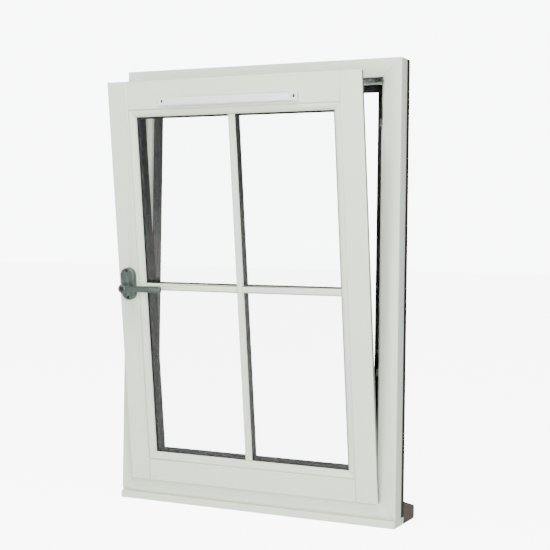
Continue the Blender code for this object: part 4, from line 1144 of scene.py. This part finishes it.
    def build_lock(self) -> None:
        """Make the key cylinder with its key slit and a chamfer round its face."""
        low, high = self.shop.places.shut_box("key_cylinder")
        middle = (low + high) / 2
        r = (high.x - low.x) / 2
        deep = high.y - low.y
        profile = [(0, -deep), (r, -deep), (r, -0.0008), (r - 0.0008, 0), (0, 0)]
        core = self.shop.faced(profile, middle.x, low.y, middle.z, 32)
        slit = self.shop.box((middle.x - self.slit_half, low.y - 0.001, middle.z - self.slit_reach),
                             (middle.x + self.slit_half, low.y + 0.007, middle.z + self.slit_reach))
        core = self.shop.carved(core, [slit])
        piece = self.shop.finish_piece("lock_core", core, "key_cylinder", "black_steel", True)
        self.shop.stand_for(piece, "key_cylinder")


@dataclass
class TrickleVent:
    """Slim vent on the top rail: base with end caps, canopy flap and two screws."""

    shop: MeshShop
    crown: float = 0.0008
    slot_half: float = 0.0004
    pad_inset: float = 0.0135
    pad_radius: float = 0.0030
    pad_root: float = 0.004

    def build(self) -> None:
        """Build the base, the canopy and the screws."""
        self.shop.refine("vent_base", 0.0016, segments=4)
        self.shop.refine("vent_flap", 0.0005, segments=2, edge=40.0)
        self.build_screws()
        self.build_bosses()

    def build_screws(self) -> None:
        """Make the two dark screws with a slot."""
        for side in ("left", "right"):
            low, high = self.shop.places.shut_box(f"vent_screw_{side}")
            middle = (low + high) / 2
            r = (high.x - low.x) / 2
            deep = high.y - low.y
            profile = [(0, -deep), (r, -deep), (r, -self.crown), (r * 0.7, 0), (0, 0)]
            head = self.shop.faced(profile, middle.x, low.y, middle.z, 24)
            slot = self.shop.box((middle.x - r, low.y - 0.001, middle.z - self.slot_half),
                                 (middle.x + r, low.y + self.crown, middle.z + self.slot_half))
            head = self.shop.carved(head, [slot])
            piece = self.shop.finish_piece(f"vent_fixing_{side}", head, "sash", "black_steel", True)
            self.shop.stand_for(piece, f"vent_screw_{side}")

    def build_bosses(self) -> None:
        """Add the low round pads where the canopy meets its end caps."""
        low, high = self.shop.places.shut_box("vent_base")
        pads = []
        for x in (low.x + self.pad_inset, high.x - self.pad_inset):
            r, root = self.pad_radius, self.pad_root
            profile = [(0, -root), (r, -root), (r, -self.slot_half), (0.8 * r, 0), (0, 0)]
            pads.append(self.shop.faced(profile, x, low.y, (low.z + high.z) / 2, 24))
        self.shop.finish_piece("vent_pads", self.shop.merged(pads), "sash", "white_plastic", True)


# ---------------------------------------------------------------- studio
@dataclass
class Studio:
    """Pale floor, soft lights and the camera."""

    palette: Palette
    eye: tuple[float, float, float] = (1.327, -2.677, 0.654)
    yaw: float = 25.62
    pitch: float = 0.13
    roll: float = 0.843
    lens: float = 79.5
    shift: tuple[float, float] = (0.0073, -0.0574)
    ambient: float = 0.42
    backdrop: float = 9.0

    def build(self) -> None:
        """Set up the floor, the lights, the surroundings and the camera."""
        self.build_floor()
        self.build_lights()
        self.build_world()
        self.build_camera()

    def build_floor(self) -> None:
        """Lay a wide pale floor under the window."""
        bm = bmesh.new()
        bmesh.ops.create_grid(bm, x_segments=2, y_segments=2, size=30.0)
        mesh = bpy.data.meshes.new("studio_floor")
        bm.to_mesh(mesh)
        bm.free()
        mesh.materials.append(self.palette.get("floor"))
        floor = bpy.data.objects.new("studio_floor", mesh)
        floor.location.z = -0.0005
        bpy.context.scene.collection.objects.link(floor)

    def area(self, name: str, place: tuple[float, float, float], size: float, power: float,
             color: tuple[float, float, float]) -> None:
        """Hang one soft square light that faces the window's middle.

        Args:
            name: The light's name.
            place: Where it hangs.
            size: Its side.
            power: Its power in watts.
            color: Its colour.
        """
        data = bpy.data.lights.new(name, "AREA")
        data.size = size
        data.energy = power
        data.color = color
        light = bpy.data.objects.new(name, data)
        light.location = place
        aim = Vector((0, 0, 0.55)) - Vector(place)
        light.rotation_euler = aim.to_track_quat("-Z", "Y").to_euler()
        light.visible_glossy = name != "fill_left"
        bpy.context.scene.collection.objects.link(light)

    def build_lights(self) -> None:
        """Hang a cool key right, a low front light, a warm fill left and a top light."""
        self.area("key_right", (2.3, -2.6, 1.5), 0.9, 95.0, (0.95, 1.0, 1.0))
        self.area("low_front", (-0.2, -3.6, 0.35), 0.9, 60.0, (0.98, 1.0, 0.95))
        self.area("fill_left", (-2.8, -1.6, 1.2), 1.6, 26.0, (1.0, 0.98, 0.80))
        self.area("top_soft", (0.2, -1.5, 3.0), 0.9, 85.0, (0.97, 1.0, 1.0))

    def build_world(self) -> None:
        """Surround everything with soft light, and show plain white where nothing stands."""
        world = bpy.data.worlds.new("studio_world")
        world.use_nodes = True
        tree = world.node_tree
        back = tree.nodes["Background"]
        back.inputs["Color"].default_value = (0.97, 0.99, 1.0, 1)
        seen = EFFECTS.straight_view(tree)
        raised = EFFECTS.math(tree, "MULTIPLY", seen, self.backdrop - self.ambient)
        strength = EFFECTS.math(tree, "ADD", raised, self.ambient)
        tree.links.new(strength, back.inputs["Strength"])
        bpy.context.scene.world = world

    def build_camera(self) -> None:
        """Place the camera to the right of the window, level with its middle."""
        data = bpy.data.cameras.new("camera")
        data.lens = self.lens
        data.sensor_width = 36.0
        data.shift_x, data.shift_y = self.shift
        data.clip_start, data.clip_end = 0.05, 100.0
        camera = bpy.data.objects.new("camera", data)
        yaw, pitch, roll = radians(self.yaw), radians(self.pitch), radians(self.roll)
        ahead = Vector((-sin(yaw) * cos(pitch), cos(yaw) * cos(pitch), sin(pitch)))
        level = Vector((cos(yaw), sin(yaw), 0))
        above = level.cross(ahead)
        right = cos(roll) * level + sin(roll) * above
        top = cos(roll) * above - sin(roll) * level
        turn = Matrix((right, top, -ahead)).transposed().to_4x4()
        camera.matrix_world = Matrix.Translation(self.eye) @ turn
        bpy.context.scene.collection.objects.link(camera)
        bpy.context.scene.camera = camera


def main() -> None:
    """Build every sub-assembly in order and report it."""
    logging.basicConfig(level=logging.INFO, format="%(message)s")
    palette = Palette()
    places = Places()
    shop = MeshShop(places, palette)
    builders = (OuterFrame(shop), Sash(shop), GlassUnit(shop), LockingHardware(shop),
                LeverHandle(shop), TrickleVent(shop), Studio(palette))
    for builder in builders:
        builder.build()
        log.info("built %s", type(builder).__name__)


if __name__ == "__main__":
    main()
